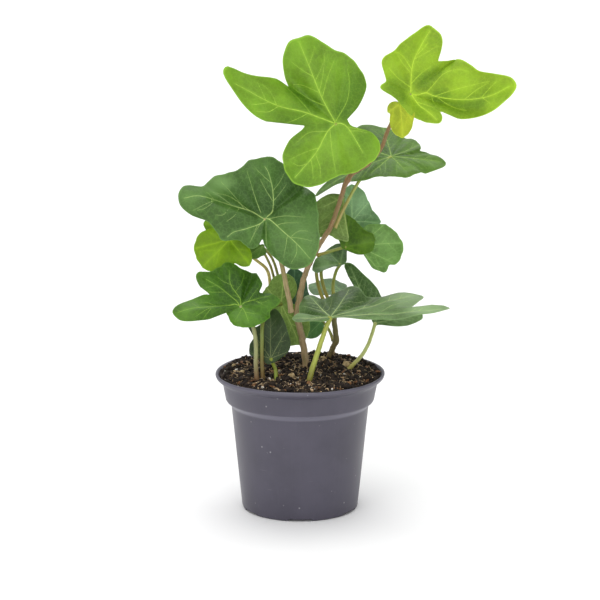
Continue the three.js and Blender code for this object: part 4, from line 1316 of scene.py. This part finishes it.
grains("soil_crumbs", 1700, (0.35, 1.6), (1, 1, 1), 11, soil, 42.8)
grains("soil_bark_chips", 170, (0.45, 1.4), (2.0, 1.0, 0.55), 12, BARK_CHIP, 42.0)
grains("soil_pale_chips", 360, (0.28, 0.95), (1.8, 1.0, 0.6), 13, PALE_CHIP, 42.5)
grains("perlite_grains", 170, (0.25, 0.85), (1, 1, 1), 14, PERLITE, 42.5, rough=0.2)
grains("soil_lumps", len(LUMPS), (1, 1), (1.1, 1.0, 0.9), 16, LUMP_SKIN, sink=0.1, rough=0.12,
       places=LUMPS)
straws("soil_fibres", 850, (2.0, 8.5), 0.15, 15, FIBRE, 42.5)


# ---------------------------------------------------------------- floor, light, camera
floor_mesh = bpy.data.meshes.new("floor")
floor_mesh.from_pydata([(-6, -6, 0), (6, -6, 0), (6, 6, 0), (-6, 6, 0)], [], [(0, 1, 2, 3)])
floor = bpy.data.objects.new("floor", floor_mesh)
bpy.context.scene.collection.objects.link(floor)
paper = Shader("paper_floor", Roughness=0.9)
paper.colour((0.93, 0.93, 0.93, 1))
paper.put(paper.body.inputs["Specular IOR Level"], 0.0)
floor_mesh.materials.append(paper.material)

world = bpy.data.worlds.new("studio")
world.use_nodes = True
sky = world.node_tree.nodes["Background"]
sky.inputs[0].default_value = (1, 1, 1, 1)
path = world.node_tree.nodes.new("ShaderNodeLightPath")
bright = world.node_tree.nodes.new("ShaderNodeMapRange")
bright.inputs["To Min"].default_value = 0.42     # strength of the light from all round
bright.inputs["To Max"].default_value = 1.05     # brightness of the backdrop itself
world.node_tree.links.new(path.outputs["Is Camera Ray"], bright.inputs["Value"])
world.node_tree.links.new(bright.outputs[0], sky.inputs[1])
bpy.context.scene.world = world


def sun(name, towards, spread, strength):
    """Soft light from a direction, given as the vector from the plant to the light."""
    light = bpy.data.lights.new(name, "SUN")
    light.angle, light.energy = math.radians(spread), strength
    lamp = bpy.data.objects.new(name, light)
    bpy.context.scene.collection.objects.link(lamp)
    lamp.rotation_euler = Vector(towards).to_track_quat("Z", "Y").to_euler()


sun("key", (-0.06, 0.05, 1.0), 60, 1.5)
sun("back", (0.05, 0.75, 0.9), 60, 0.9)
sun("front", (-0.2, -1.0, 0.5), 70, 1.3)

camera = bpy.data.cameras.new("camera")
camera.sensor_width = 36
camera.lens = 169.8
eye = bpy.data.objects.new("camera", camera)
bpy.context.scene.collection.objects.link(eye)
target = Vector((0, 0, 0.1132))
pitch, distance = math.radians(12.9), 1.5     # looking a little down, from 1.5 m
eye.location = target + Vector((0, -math.cos(pitch), math.sin(pitch))) * distance
eye.rotation_euler = (target - eye.location).to_track_quat("-Z", "Y").to_euler()
bpy.context.scene.camera = eye
bpy.context.scene.view_settings.view_transform = "Standard"
bpy.context.scene.view_settings.look = "None"
